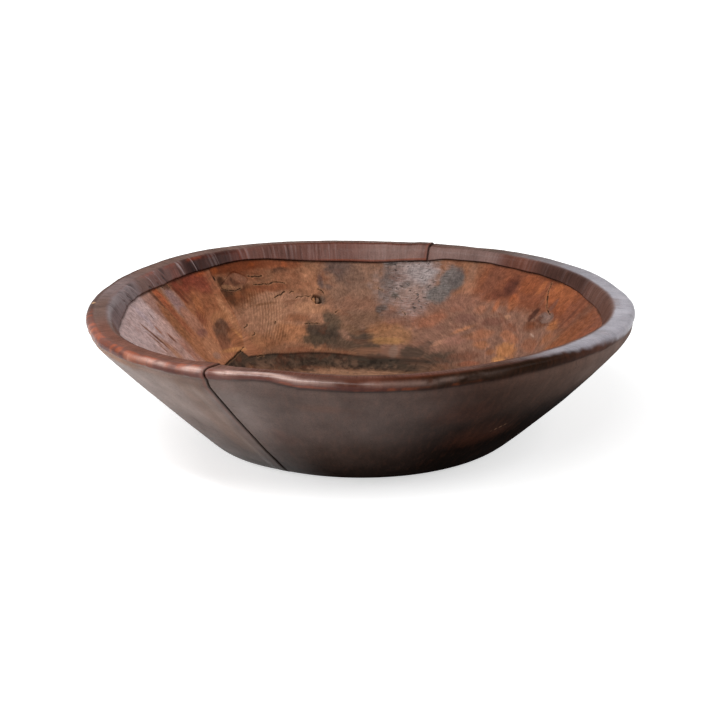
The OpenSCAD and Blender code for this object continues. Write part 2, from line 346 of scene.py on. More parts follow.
def make_mesh(name, points, faces, fields):
    """A smooth mesh piece from points in mm, with named per-vertex fields."""
    mesh = bpy.data.meshes.new(name)
    mesh.from_pydata((points * MM).tolist(), [], faces)
    for label, values in fields.items():
        kind, slot = ("FLOAT", "value") if values.ndim == 1 else ("FLOAT_VECTOR", "vector")
        if label == "paint":
            kind, slot = "FLOAT_COLOR", "color"
            values = np.concatenate([values, np.ones((len(values), 1))], 1)
        mesh.attributes.new(label, kind, "POINT").data.foreach_set(slot, values.ravel())
    mesh.polygons.foreach_set("use_smooth", [True] * len(mesh.polygons))
    mesh.update()
    mesh.validate()
    obj = bpy.data.objects.new(name, mesh)
    bpy.context.collection.objects.link(obj)
    return obj


# Paint: colour areas listed at (azimuth, place down the surface), with ragged soft edges

class Canvas:
    """Colours over a grid of azimuths and places down the surface.

    A strip is (colour, strength, two azimuths, two places down, fade, soft, ragged).
    A dab is (colour, strength, azimuth, place down, half width, half length, ragged, soft, tilt)."""

    def __init__(self, deg, down, radius, base, seed):
        self.deg, self.down, self.radius = deg, down, radius
        self.colour = plain(deg.shape, base)
        self.wide = round_noise(deg, down, 90, 17, seed, 3)
        self.wide_2 = round_noise(deg, down, 70, 21, seed + 10, 3)
        self.streak = round_noise(deg, down, 256, 46, seed + 20, 2)
        self.fleck = round_noise(deg, down, 256, 3.4, seed + 30, 2)

    def lay(self, colour, mask):
        self.colour = laid(self.colour, colour, mask)

    def aside(self, deg):
        """Distance in mm round the bowl from an azimuth."""
        return np.radians(turn_from(self.deg, deg)) * self.radius

    def area(self, deg, down, half_w, half_l, ragged=0.5, soft=0.5, tilt=0):
        """How far each place is inside an oval with a ragged edge, 0 to 1."""
        u, v = self.aside(deg), self.down - down
        ca, sa = math.cos(math.radians(tilt)), math.sin(math.radians(tilt))
        p, q = (u * ca + v * sa) / half_w, (v * ca - u * sa) / half_l
        reach = np.hypot(p, q) + ragged * (self.wide + 0.35 * self.streak + 0.35 * self.fleck)
        return ramp(1 + soft, 1 - soft, reach)

    def between(self, degs, downs, fade, soft, ragged=1.5):
        """How far each place is between two azimuths and two places down, 0 to 1."""
        aside = np.abs(turn_from(self.deg, (degs[0] + degs[1]) / 2))
        half = (degs[1] - degs[0]) / 2
        s = self.down + ragged * (self.wide + 0.5 * self.fleck)
        across = window(s, downs[0] - soft, downs[0] + soft, downs[1] - soft, downs[1] + soft)
        return ramp(half + fade, half - fade, aside) * across

    def dabs(self, table, mask=1):
        for colour, strength, *place in table:
            self.lay(colour, strength * mask * self.area(*place))

    def strips(self, table):
        for colour, strength, *place in table:
            self.lay(colour, strength * self.between(*place))

    def distance(self, path):
        """Distance in mm from every place to a path of (azimuth, place down)."""
        near = np.full(self.deg.shape, FAR_AWAY)
        for (d0, s0), (d1, s1) in zip(path, path[1:]):
            u0, du = self.aside(d0), np.radians(d1 - d0) * self.radius
            v0, dv = self.down - s0, s1 - s0
            t = np.clip((u0 * du + v0 * dv) / (du * du + dv * dv + 1e-9), 0, 1)
            near = np.minimum(near, np.hypot(u0 - t * du, v0 - t * dv))
        return near


# Wood: the inner wall, from under the leather's cut edge to the foot, then the floor

WOOD_BASE, WOOD_SEED, GRAIN_R = "7a5844", 11, 135.0
# Power and gain that deepen the wall's paint
CONTRAST, CONTRAST_GAIN = 1.16, 1.38
# Length of the cove along the profile
COVE_BEND_L = COVE_L * 1.9
# Azimuths of the valley and of the left facet's far end
VALLEY_DEG, LEFT_FACET_END = 131.8, 196

# The valley beside the left facet, and the lip round the foot
VALLEY = [(131.4, -5), (131.4, 60), (132.5, 85), (135.5, 105)]
LIP_LINE = [(60, 127), (80, 126.5), (92, 124.5), (110, 124.5), (120, 125), (126, 122.5), (132, 121),
            (136.8, 118.5), (138.2, 108.4), (143.5, 111.5), (152, 113.6), (165, 115), (178, 116)]

# Cracks: half width in mm, and the places they run through
CRACKS = [
    (0.7, [(121.6, 17.5), (120.6, 19.6), (119.6, 18.8), (118.8, 20.4), (117.8, 19.2)]),
    (0.55, [(121, 29.5), (119.6, 30.8), (118.2, 30.2), (116.8, 31.5), (115.2, 28.8), (113.4, 29.4),
            (112, 31.2)]),
    (0.5, [(130.6, 27), (129.4, 31), (127, 33.5), (125, 31)]),
    (0.6, [(116.6, 50), (115.4, 47.4), (114.2, 46.6), (113.6, 43.8), (112.8, 42.6)]),
    (0.35, [(110.4, 52), (109.3, 49.6), (108.4, 50.6), (107.4, 48.4), (106.2, 50), (105.2, 48.6)]),
    (0.3, [(111.6, 45), (110.8, 42.4), (109.9, 43.6)]),
    (0.6, [(131.2, 83), (130.2, 81.8), (129.4, 79.6)]),
    (0.5, [(130, 94.8), (129, 94.2), (128.6, 92.2)]),
    (0.4, [(119.9, 85), (119.3, 81.5)]),
    (0.55, [(150.2, 1), (149.7, 6)]), (0.5, [(147.9, 2), (147.4, 7)]),
    (0.55, [(133, 121.4), (131.6, 121), (130.6, 122.4)]),
    (0.75, [(138.4, 108.2), (141, 109.6), (143.6, 111.6), (147, 112.4), (151, 114)]),
    (0.3, [(135.4, 104.6), (138.4, 108.2)]),
    (0.35, [(33.6, 2), (32.6, 13), (31.6, 18)]), (0.9, [(31.7, 17.5), (30.9, 22)]),
    (0.4, [(30.9, 22), (29.4, 28.5), (27.8, 33.5), (25, 36.5)]),
    (0.5, [(109.6, 86.6), (107.4, 85.6), (104.6, 85.8)]),
    (0.4, [(85, 36.6), (84.2, 38.8), (83.4, 39.6)]), (0.5, [(102.9, 40), (101.8, 42), (101.4, 45.5)]),
    (0.4, [(98.6, 71), (97.9, 68.6), (97.2, 68)]), (0.4, [(76.2, 66), (75.4, 68), (75.2, 70.5)]),
    (0.5, [(302, 40), (299, 62), (300, 84)]), (0.5, [(228, 66), (231, 92)]),
]
CRACK_REACH = 6.0

# Where a scraper ridged the wall: azimuth, half width, first and last place, pitch, height, lean, bow
SCRAPED = [
    (121, 7, 40, 106, 3.3, 0.26, 0.20, 0.0042), (106, 6, 44, 84, 2.8, 0.10, 0.05, 0.001),
    (90, 9, 20, 100, 2.6, 0.07, 0.0, 0.0), (143, 8, 60, 104, 3.6, 0.10, 0.7, 0.0),
    (40, 16, 60, 118, 3.4, 0.08, -1.2, 0.0), (215, 14, 30, 110, 3.6, 0.2, 0.2, 0.0008),
    (275, 20, 20, 96, 3.3, 0.16, 0.0, 0.0005), (330, 15, 30, 110, 3.8, 0.2, 0.1, -0.0008)]
TALLEST_RIDGE = 0.26
# For the ridges: the wall's radius at place 0, its fall per mm, and the place lean and bow start from
RIDGE_R, RIDGE_R_FALL, RIDGE_MIDDLE = 250, 0.74, 50

# The wall's paint: broad strips, then dabs on either side of the valley
WALL_STRIPS = [
    # Lilac-grey strips at the far left, 160 to 200 degrees: partly the wood's colour, partly painted sheen
    ("9e8077", 1.0, (160.5, 192), (-20, 150), 2, 4, 4), ("9e8077", 1.0, (184, 200), (-20, 150), 8, 4, 4),
    ("a89492", 0.9, (161.5, 192), (-20, 54), 2.5, 16, 8),
    ("a89492", 0.9, (184, 200), (-20, 54), 8, 16, 8),
    ("8a6049", 1.0, (130.5, 159.6), (-20, 150), 2.6, 4, 4),
    ("775c4d", 1.0, (84, 101), (-20, 112), 4, 8, 4), ("795b4d", 1.0, (14, 84), (40, 130), 3, 14, 8),
    ("774b38", 1.0, (-6, 56), (-20, 44), 5, 10, 6),
]
LEFT_DABS = [
    # Lilac facet at the far left, its lilac partly painted sheen, with its dark streaks
    ("a08f92", 0.7, 168.4, 18, 5, 17, 0.4, 0.6), ("98705a", 0.8, 171.4, 66, 5, 16, 0.4),
    ("93695a", 0.8, 162.6, 84, 6, 22, 0.4), ("a5867c", 0.6, 164, 44, 14, 16),
    ("5f3b29", 0.9, 172.7, 47, 1.9, 13, 0.6, 0.6, 4), ("70482f", 0.8, 174.6, 45, 1.4, 9, 0.6, 0.6, 6),
    ("70482f", 0.7, 175.4, 57, 1.2, 6, 0.6, 0.6), ("70482f", 0.7, 173.2, 30, 1.2, 6, 0.6, 0.6, 6),
    ("875b45", 0.8, 168.1, 41, 2.2, 7, 0.6, 0.6, -6), ("6e4430", 0.85, 165.4, 56, 2.2, 7),
    ("64524e", 0.8, 164.8, 25, 1.3, 4.5, 0.5, 0.5, -10), ("7d5a4f", 0.6, 169.4, 66, 1.2, 8, 0.5, 0.6, 8),
    ("93746a", 0.9, 159, 11, 10, 22, 0.4), ("5f3d2e", 0.85, 155.9, 9, 2.6, 22, 0.4, 0.6),
    ("84593f", 0.95, 157.4, 66, 8, 46, 0.3, 0.3), ("6f4a34", 0.6, 155.4, 66, 1.6, 40, 0.4, 0.6),
    ("8f6755", 0.6, 160.3, 78, 5, 16, 0.4, 0.6),
    # Orange stripe, lilac oval, rust-brown, tan
    ("98573a", 0.95, 153.7, 10, 5.5, 26, 0.3, 0.45), ("89563f", 0.9, 153.9, 52, 4.5, 40, 0.3),
    ("96684e", 0.95, 145, 84, 46, 30, 0.3, 0.3), ("723d2e", 1.0, 140, 12, 34, 24, 0.3, 0.35),
    ("85583f", 0.9, 139, 42, 32, 20, 0.4), ("91705f", 0.95, 149.8, 26, 10.5, 34, 0.25, 0.2),
    ("856c6a", 0.85, 149.9, 25, 8, 22, 0.4), ("906856", 0.9, 149.6, 54, 11, 20, 0.25, 0.25),
    ("775248", 0.85, 149.6, 70.5, 9, 5.5, 0.3, 0.35), ("9a6f56", 0.85, 150.4, 91, 15, 16, 0.4, 0.4),
    ("8a6d60", 0.7, 151.6, 100, 6, 4, 0.4, 0.4), ("5c3526", 0.9, 146.1, 17, 2, 14, 0.5, 0.5, 10),
    ("54352a", 0.85, 148.6, 4, 7, 4, 0.7), ("603b2b", 0.7, 144.2, 22, 1.8, 11, 0.5, 0.5, 8),
    ("64412f", 0.6, 142.6, 5, 4, 4, 0.6), ("6d3f30", 0.7, 144.6, 53, 6, 10, 0.5, 0.5, -30),
    ("8d5c3f", 0.8, 142.4, 40, 5, 16, 0.4, 0.5, -20), ("744133", 0.7, 136, 20, 10, 10),
    ("8f4f31", 0.7, 134.2, 0, 8, 6), ("a3775a", 0.85, 133.7, 64, 5, 24, 0.4),
    ("8b5f44", 0.8, 134.6, 94, 8, 10, 0.4),
    # The dark leaf, its tan lower edge
    ("96694c", 0.9, 138, 62, 14, 8, 0.3, 0.4), ("63483a", 0.95, 140.4, 80, 11, 18, 0.4, 0.25, -36),
    ("7b5340", 0.9, 143.8, 94, 8, 12, 0.35, 0.3, -36),
    ("83583f", 0.85, 137.6, 91, 8, 11, 0.4, 0.35, -20), ("54382a", 0.75, 140.6, 71.5, 5, 4.5),
    ("573a2b", 0.6, 137.9, 77, 3, 6), ("5a3c2d", 0.55, 141.6, 86, 4, 5, 0.6),
    ("a57852", 0.8, 141, 104.5, 20, 2.6, 0.3, 0.5, -14), ("a0734f", 0.7, 134.4, 92, 2, 11, 0.3, 0.5, 24),
]
RIGHT_DABS = [
    # Rust brown under the rim
    ("603521", 1.0, 123, 0, 46, 14, 0.3, 0.3), ("70442f", 0.9, 112, 2, 24, 12, 0.4, 0.4),
    ("7e4626", 0.7, 130, 1, 5, 8), ("7f4425", 0.6, 119.4, 3, 4, 4), ("8e5235", 0.6, 110.8, 5, 3, 6),
    # Painted shade right of the valley: 6c4630 in part, and the dark dabs 3a2316 and 452d1f
    ("6a4330", 0.85, 120, 17, 16, 8, 0.4), ("6c4630", 1.0, 126.5, 44, 22, 17, 0.4, 0.4),
    ("3a2316", 0.9, 129.8, 20, 5, 10, 0.4, 0.4), ("43291c", 0.85, 126.6, 31, 15, 3.6, 0.5, 0.4),
    ("452d1f", 0.85, 129.6, 38, 4.5, 20, 0.6, 0.6), ("58392a", 0.7, 126, 46, 4, 9, 0.5, 0.5, -25),
    ("1b100a", 1.0, 131.15, 12.6, 1.5, 3.2, 0.3, 0.4), ("51392d", 0.9, 112.4, 13.5, 9, 4, 0.6),
    ("7b5642", 0.9, 109, 29, 26, 14, 0.4, 0.4), ("8e6750", 0.85, 104.9, 31, 9, 18, 0.4, 0.4),
    ("764b36", 0.9, 117.4, 36, 20, 8, 0.4), ("6a4531", 0.6, 121, 33, 8, 5),
    # Tan scraped field
    ("8a6753", 1.0, 116, 78, 66, 32, 0.25, 0.25), ("8e6a56", 0.95, 115.6, 50, 30, 8, 0.3, 0.35),
    ("94705a", 0.8, 117.5, 76, 18, 22, 0.4), ("9a735a", 0.8, 107.4, 65, 20, 8, 0.35, 0.4),
    ("7d553f", 0.8, 112, 78, 16, 6), ("94684c", 0.85, 115, 98, 24, 12, 0.35, 0.4),
    ("80583f", 0.8, 126, 106, 20, 9, 0.4), ("8c644a", 0.8, 130, 100, 8, 10, 0.4),
    ("785441", 0.8, 112.6, 120.6, 26, 3, 0.4), ("926a50", 0.8, 104.6, 118.6, 14, 3, 0.4),
    ("634331", 0.6, 124.4, 109.6, 9, 2, 0.4, 0.6, 22), ("6a4732", 0.55, 119.6, 103, 3, 9, 0.4, 0.6, -30),
    ("67442f", 0.7, 121.4, 57.4, 14, 1.8, 0.5, 0.6, 2),
    ("6e4a37", 0.6, 111.5, 55.6, 10, 1.6, 0.5, 0.6, 6),
    # Back: brown, grey smudges, dark stains towards the floor
    ("584842", 0.9, 96.6, 12, 16, 13, 0.6, 0.4), ("584a46", 0.75, 101.7, 30, 3, 10, 0.6),
    ("5b4c47", 0.6, 100, 37, 5, 4, 0.6), ("6d564a", 0.7, 92, 24, 12, 14),
    ("7a5a4a", 0.8, 92, 60, 26, 10), ("6a5142", 0.85, 90, 77, 26, 9),
    ("4a3e35", 0.95, 103.4, 97, 22, 15, 0.55, 0.3, 6), ("3d332b", 0.85, 104, 103, 14, 10, 0.6),
    ("4e4135", 0.85, 108.6, 107, 15, 7, 0.5, 0.4, -10), ("54463a", 0.85, 100, 83, 10, 10, 0.6),
    ("483c33", 0.95, 89.4, 102, 19, 11, 0.55, 0.35, -14), ("4f4136", 0.85, 96, 112, 26, 8),
    ("6b5241", 0.8, 93.6, 92, 12, 6, 0.5, 0.5, -20), ("765643", 0.9, 82.6, 88, 12, 7, 0.4, 0.4),
    ("866349", 0.9, 78.4, 95, 24, 13, 0.4, 0.4, -8), ("8b6a49", 0.8, 79.6, 105, 18, 4, 0.4),
    ("7a5a48", 0.8, 87, 117.5, 16, 3), ("5a473b", 0.7, 102, 117, 14, 3.5, 0.6),
    # Grey-lilac pitted zone and the slate blotch
    ("7b6b66", 1.0, 75.5, 26, 36, 34, 0.3, 0.35), ("5d504b", 0.9, 82.2, 26, 9, 22, 0.6),
    ("807573", 0.9, 72.5, 12, 17, 14, 0.4, 0.4), ("8c8280", 0.7, 70.8, 15, 8, 10),
    ("80695f", 0.8, 75.4, 46, 14, 14, 0.4), ("786058", 0.8, 72.6, 62, 18, 11, 0.4),
    ("46403d", 0.8, 81.6, 3, 5, 4, 0.6), ("474039", 0.85, 79.6, 46.5, 4.5, 3.6, 0.6),
    ("4e443f", 0.8, 83.4, 62.5, 6, 4, 0.6, 0.5, 20), ("544a46", 0.7, 76.8, 31, 5, 4, 0.6),
    ("574b47", 0.7, 80, 22, 4, 7, 0.6), ("675047", 0.7, 79, 70, 12, 6),
    ("5d5653", 0.95, 63.4, 21, 14, 15, 0.3, 0.25, -22),
    ("5f5956", 0.9, 66.2, 41, 13, 12, 0.3, 0.25, -10), ("57504e", 0.6, 62.4, 18, 6, 8, 0.5, 0.5, -22),
    # Rust and orange at the right
    ("80604f", 0.8, 58.6, 10, 5, 13, 0.4), ("8a6450", 0.85, 57.6, 32, 7, 9, 0.4),
    ("6f4838", 0.9, 51.6, 14, 14, 17, 0.4, 0.45), ("7a4d37", 0.7, 54.6, 10, 4, 14, 0.4),
    ("56342a", 0.95, 45.2, 20, 10, 15, 0.45, 0.35, 12), ("5f3a2d", 0.85, 47.6, 33, 8, 8),
    ("482b22", 0.7, 44.2, 15, 4, 6, 0.6), ("7d4c34", 0.95, 39.4, 11, 14, 15, 0.35, 0.4),
    ("8c5438", 0.8, 42, 33, 6, 6), ("925c3e", 0.9, 35.6, 10, 5, 13, 0.35, 0.45),
    ("8c573b", 0.95, 26.5, 12, 26, 15, 0.3, 0.35), ("9a6140", 0.7, 30, 4, 6, 5),
    ("865238", 0.85, 22.6, 26, 12, 7, 0.4, 0.4), ("6f4530", 0.7, 24, 20, 3, 12, 0.5, 0.5, -20),
    ("744630", 0.7, 20, 8, 5, 8), ("6b3f2b", 0.7, 36, 0, 16, 2.4, 0.4),
    ("7d5b4d", 0.9, 57, 50, 18, 12, 0.5, 0.5, 10), ("8e6450", 0.85, 50.6, 54, 8, 6),
    ("925e44", 0.8, 46, 47, 4, 9, 0.4, 0.5, 10), ("87573e", 0.85, 40.8, 42, 6, 9, 0.4),
    ("9c775f", 0.6, 40, 57, 5, 3.4), ("6a4a3f", 0.85, 43, 66.5, 16, 5, 0.5, 0.5, 10),
    ("6c4e44", 0.8, 54.4, 70, 12, 6, 0.5, 0.5, 10), ("734f40", 0.7, 37, 69, 12, 5),
    ("845a47", 0.85, 65.6, 76, 20, 9, 0.5, 0.5, 20), ("6d4f44", 0.7, 61.6, 85, 7, 4),
    ("95705c", 0.85, 59.4, 103, 11, 3.4, 0.4, 0.5, 24), ("815f52", 0.9, 54.2, 98.5, 14, 6, 0.4, 0.5, 20),
    ("966a50", 0.85, 53.4, 84, 12, 2.8, 0.4, 0.5, 32), ("8a604a", 0.85, 45.8, 86, 14, 6, 0.4, 0.5, 20),
    ("6f503f", 0.7, 50, 90, 8, 3, 0.5, 0.5, 24), ("8c6046", 0.8, 42.4, 98, 9, 5, 0.4),
    ("794f38", 0.7, 37, 104, 5, 4), ("8d614a", 0.85, 33.4, 79, 14, 5, 0.4, 0.4, -10),
    ("966a49", 0.95, 30.6, 96, 14, 9, 0.4, 0.4), ("a87a52", 0.85, 29.6, 110, 11, 6, 0.4, 0.4),
    ("7f5845", 0.9, 21.6, 75, 14, 9, 0.4, 0.4), ("865c44", 0.85, 17.6, 61, 10, 10, 0.4),
    ("91603f", 0.85, 19.8, 46, 10, 8, 0.4), ("663d29", 0.85, 28.6, 57, 9, 8, 0.4),
    ("452a21", 0.9, 31.2, 43, 5.5, 10, 0.5, 0.35), ("75503f", 0.8, 31.8, 28, 3, 6, 0.4, 0.4, 10),
    ("70584f", 0.9, 27.6, 41, 7, 6, 0.35, 0.3, 10), ("4c2d22", 0.7, 28, 48.5, 5, 3),
    ("62402f", 0.8, 25, 46, 10, 8, 0.4, 0.4), ("6b4c41", 0.85, 26.8, 29, 4, 11, 0.35, 0.3, 6),
    ("9c8678", 0.6, 24.6, 66.5, 6, 1.4, 0.5, 0.5, -8), ("5f3c2e", 0.85, 16, 28, 3, 18, 0.4),
    ("6a4737", 0.9, 11.6, 16, 9, 30, 0.4), ("7b4c32", 0.8, 6, 50, 20, 40, 0.4),
    # Stains low on the back right, a pale spot among them
    ("483b32", 0.9, 68, 118.5, 19, 9, 0.5, 0.4), ("4d3f35", 0.9, 58, 122, 26, 8, 0.5, 0.5, 8),
    ("5d4a40", 0.8, 64.4, 106.5, 9, 4, 0.5, 0.5, 20), ("69493b", 0.8, 46.4, 116, 18, 6, 0.5, 0.5, 14),
    ("4c3c32", 0.9, 85, 129, 26, 7), ("45372e", 0.7, 72, 130, 26, 6),
    ("84503a", 0.6, 43, 124, 14, 3, 0.5, 0.5, 16), ("7c665a", 0.75, 77, 118.6, 5.6, 8.5, 0.25, 0.3),
    # Front wall
    ("7a4c33", 0.8, 205, 60, 80, 60, 0.3, 0.35), ("8f6242", 0.7, 232, 70, 60, 40, 0.3, 0.35),
    ("5a3b2c", 0.7, 250, 30, 40, 26, 0.6, 0.35), ("82543a", 0.8, 285, 40, 80, 44, 0.3, 0.35),
    ("46352b", 0.7, 272, 104, 36, 20, 0.6, 0.35), ("8a6244", 0.6, 310, 84, 50, 30, 0.5, 0.35),
    ("6c4735", 0.7, 322, 30, 30, 26, 0.5, 0.35), ("84503a", 0.8, 345, 30, 50, 34, 0.3, 0.35),
    ("50392d", 0.6, 300, 22, 18, 14, 0.6, 0.35), ("6b5a50", 0.5, 262, 58, 26, 20, 0.6, 0.35),
]


def wall_line(deg, band_height):
    """Foot and top of the straight inner wall, for a height of the leather band."""
    slope = np.array([-math.cos(BAND_SLOPE), -math.sin(BAND_SLOPE)])
    sink = WOOD_DEPTH * np.array([math.sin(BAND_SLOPE), -math.cos(BAND_SLOPE)])
    top = (point(rim_radius(deg) - RIM_W, BOWL_H)
           + slope * (np.asarray(band_height) / math.sin(BAND_SLOPE))[..., None] + sink)
    return point(FOOT_R + 0 * deg, FLOOR_H), top


def inner_profile(deg, rows):
    """Wood profile from the wall's top down the wall, round the cove and to the floor's edge.

    Returns points and each one's place down the wall, which is 0 where a 15 mm band would end."""
    foot, top = wall_line(deg, cut_height(deg))
    _, even_top = wall_line(deg, BAND_H + 0 * deg)
    length = np.linalg.norm(top - foot, axis=-1)
    start = np.linalg.norm(even_top - foot, axis=-1) - length
    up = (top - foot) / length[..., None]
    straight = length - COVE_L
    along = np.linspace(0, 1, rows)[None, :] * (straight + COVE_BEND_L)
    t = np.clip((along - straight) / COVE_BEND_L, 0, 1)[..., None]
    on_straight = top - up * np.minimum(along, straight)[..., None]
    end = foot - np.array([COVE_L, 0.0])
    in_cove = (foot + up * COVE_L) * (1 - t) ** 2 + foot * 2 * t * (1 - t) + end * t ** 2
    return np.where((along > straight)[..., None], in_cove, on_straight), start + along


def valley_at(down):
    """Azimuth of the valley between the left facet and the back wall, at places down."""
    return np.interp(down, [s for _, s in VALLEY], [d for d, _ in VALLEY])


def lip_at(deg):
    """Place down the wall of the lip round the foot."""
    return np.interp(deg, *np.array(LIP_LINE).T)


def scraper_ridges(deg, down):
    """Fine ridges that a scraper left: their height in mm."""
    total = 0.0
    wander = round_noise(deg, down, 60, 30, 61)
    s = down - RIDGE_MIDDLE
    for centre, width, start, end, pitch, height, lean, bow in SCRAPED:
        u = np.radians(turn_from(deg, centre)) * (RIDGE_R - RIDGE_R_FALL * down)
        phase = (u - lean * s - bow * s * np.abs(s) + wander) / pitch
        inside = around(deg, centre, width) * window(down, start - 12, start + 8, end - 8, end + 12)
        total = total + height * inside * np.sin(2 * math.pi * phase)
    return total


def wood_relief(canvas):
    """Height of the wood above the plain wall in mm, the ridges' tone, how near each place is to a
    crack, and how far it is below the lip round the foot."""
    deg, down = canvas.deg, canvas.down
    calm = ramp(-2, 12, down)
    relief = 0.9 * calm * round_noise(deg, down, 18, 70, 40, 2)
    relief += 0.22 * calm * round_noise(deg, down, 110, 14, 43, 2)
    ridges = scraper_ridges(deg, down)
    relief += ridges
    valley = canvas.distance(VALLEY)
    left = turn_from(deg, VALLEY_DEG) > 0
    relief -= calm * (1.9 * np.exp(-valley / 7.0) * left + 1.4 * np.exp(-valley / 16.0) * ~left)
    past_lip = down - lip_at(deg)
    below = ramp(-0.6, 0.9, past_lip + 0.6 * canvas.wide) * window(deg, 52, 66, 160, 178)
    relief -= 1.1 * below * ramp(40, 8, past_lip)
    cut = np.zeros(deg.shape)
    for half_width, path in CRACKS:
        near = canvas.distance(path) - half_width
        cut = np.maximum(cut, CRACK_REACH - near)
        relief += 0.35 * hump(near, 1.6, 1.1) * half_width
    relief -= 0.8 * ramp(CRACK_REACH - 0.9, CRACK_REACH, cut)
    rough = 0.25 * round_noise(deg, down, 250, 5, 47, 2)
    relief += rough * around(deg, 115, 9) * ramp(52, 40, down) * calm
    return relief, ridges / TALLEST_RIDGE, cut, below


def paint_wall(canvas, tone, below):
    """The inner wall's colours: broad strips, then patches on either side of the valley."""
    c = canvas
    deg, down = c.deg, c.down
    left = (deg > valley_at(down)) & (deg < LEFT_FACET_END)
    c.strips(WALL_STRIPS)
    c.dabs(LEFT_DABS, left)
    c.dabs(RIGHT_DABS, ~left)
    c.colour = CONTRAST_GAIN * c.colour ** CONTRAST
    # Painted shade in the hollows between the scraper's ridges and painted highlight on their crests
    c.lay("3c2415", 0.30 * ramp(0.1, 0.9, -tone))
    c.lay("b08463", 0.22 * ramp(0.2, 0.9, tone))
    # Painted shade beside the valley, under the lip round the foot and under the leather's cut edge; below
    # the lip partly dirt too
    past_lip = down - lip_at(deg)
    c.lay("2e1c12", 0.75 * hump(c.distance(VALLEY[:2]), 0, 0.9) * ~left * ramp(64, 52, down))
    # Darker below the lip: partly dirt, partly painted shade
    c.lay("352c24", 0.93 * below * ramp(34, 12, past_lip))
    c.lay("6b5040", 0.6 * below * ramp(2, 10, past_lip) * ramp(0.0, 0.5, c.wide_2))
    c.lay("1a120d", 0.6 * below * ramp(0.1, 0.5, c.fleck - 0.5 * c.wide))
    # Painted shadow line along the lip
    c.lay("140d08", 0.8 * hump(past_lip, 0.6, 0.9) * window(deg, 92, 98, 148, 153))
    # Darker towards the foot, and lighter low at the back
    c.lay("3a2d25", 0.5 * ramp(112, 136, down + 8 * c.wide) * (1 - below) * (1 - 0.6 * around(deg, 270, 60)))
    c.lay("a17a60", 0.5 * ramp(144, 154, down + 5 * c.wide) * around(deg, 90, 40))
    from_cut = down - (cut_height(deg) - BAND_H) / math.sin(BAND_SLOPE)
    # Painted shadow under the leather's cut edge
    c.lay("24160f", 0.7 * ramp(3.2, 0.4, from_cut + 1.2 * c.wide) * ramp(22, 34, deg))


# Inlays: the knot and the two filler patches, in their hole and recesses

def in_outline(points, outline):
    """Signed distance of points (..., 2) to a closed outline: negative inside."""
    a, b = outline, np.roll(outline, -1, axis=0)
    inside = np.zeros(points.shape[:-1], bool)
    near = np.full(points.shape[:-1], FAR_AWAY)
    x, y = points[..., 0], points[..., 1]
    for (ax, ay), (bx, by) in zip(a, b):
        dx, dy = bx - ax, by - ay
        t = np.clip(((x - ax) * dx + (y - ay) * dy) / (dx * dx + dy * dy), 0, 1)
        near = np.minimum(near, np.hypot(x - ax - t * dx, y - ay - t * dy))
        if dy:
            crosses = ((ay > y) != (by > y)) & (x < (y - ay) / dy * dx + ax)
            inside ^= crosses
    return np.where(inside, -near, near)


def patch_outline(shares, size, steps=12):
    """Smooth closed outline of a filler patch, in mm up the wall and round it."""
    corners = np.array(shares) * np.array(size[2:])
    four = [np.roll(corners, -k, axis=0)[:, None] for k in (-1, 0, 1, 2)]
    return spline(four, (np.arange(steps) / steps)[None, :, None]).reshape(-1, 2)


def about(canvas, deg, down):
    """Places on a canvas as mm up the wall and round it, from a centre."""
    return np.stack([down - canvas.down, canvas.aside(deg)], -1)


def from_edge(deg, down):
    """Place down the wall of something that lies a distance below the leather's cut edge."""
    foot, top = wall_line(np.array([deg]), BAND_H * share(BAND_SHARES, np.array([deg])))
    _, even = wall_line(np.array([deg]), np.array([BAND_H]))
    return float(np.linalg.norm(even - foot) - np.linalg.norm(top - foot)) + down


def hole_depth(canvas):
    """Depth of the knot hole and of the filled recesses below the wall, and the hole's own mask."""
    place = about(canvas, KNOT_DEG, from_edge(KNOT_DEG, KNOT_DOWN))
    angle = np.arctan2(place[..., 1], place[..., 0])
    edge = KNOT_HOLE_W / 2 * (1 + 0.10 * np.sin(2 * angle + 0.6) + 0.06 * np.sin(5 * angle))
    hole = ramp(0.5, -0.9, np.hypot(place[..., 0], place[..., 1]) - edge)
    depth = KNOT_HOLE_L * hole
    for size, shares in ((LEFT_PATCH, LEFT_PATCH_SHARES), (RIGHT_PATCH, RIGHT_PATCH_SHARES)):
        place = about(canvas, size[0], from_edge(size[0], size[1]))
        gap = in_outline(place, patch_outline(shares, size))
        depth = np.maximum(depth, FILLER_L * ramp(-0.2, -1.4, gap))
    return depth, hole


def on_wall(deg, down, height):
    """Points at places on the inner wall, a height above it."""
    foot, even_top = wall_line(deg, BAND_H + 0 * deg)
    length = np.linalg.norm(even_top - foot, axis=-1, keepdims=True)
    up = (even_top - foot) / length
    normal = np.stack([-up[..., 1], up[..., 0]], -1)
    return to_xyz(foot + up * (length - down[..., None]) + normal * height[..., None], deg)


def wall_radius(deg, down):
    """Distance of one place on the inner wall from the bowl's axis."""
    x, y, _ = on_wall(np.array([deg]), np.array([down]), np.zeros(1))[0]
    return math.hypot(x, y)


def plug_ends(deg, down, top, bottom):
    """The middle points of an inlay's face and of its bottom."""
    return on_wall(np.full(2, deg), np.full(2, down), np.array([top, bottom]))


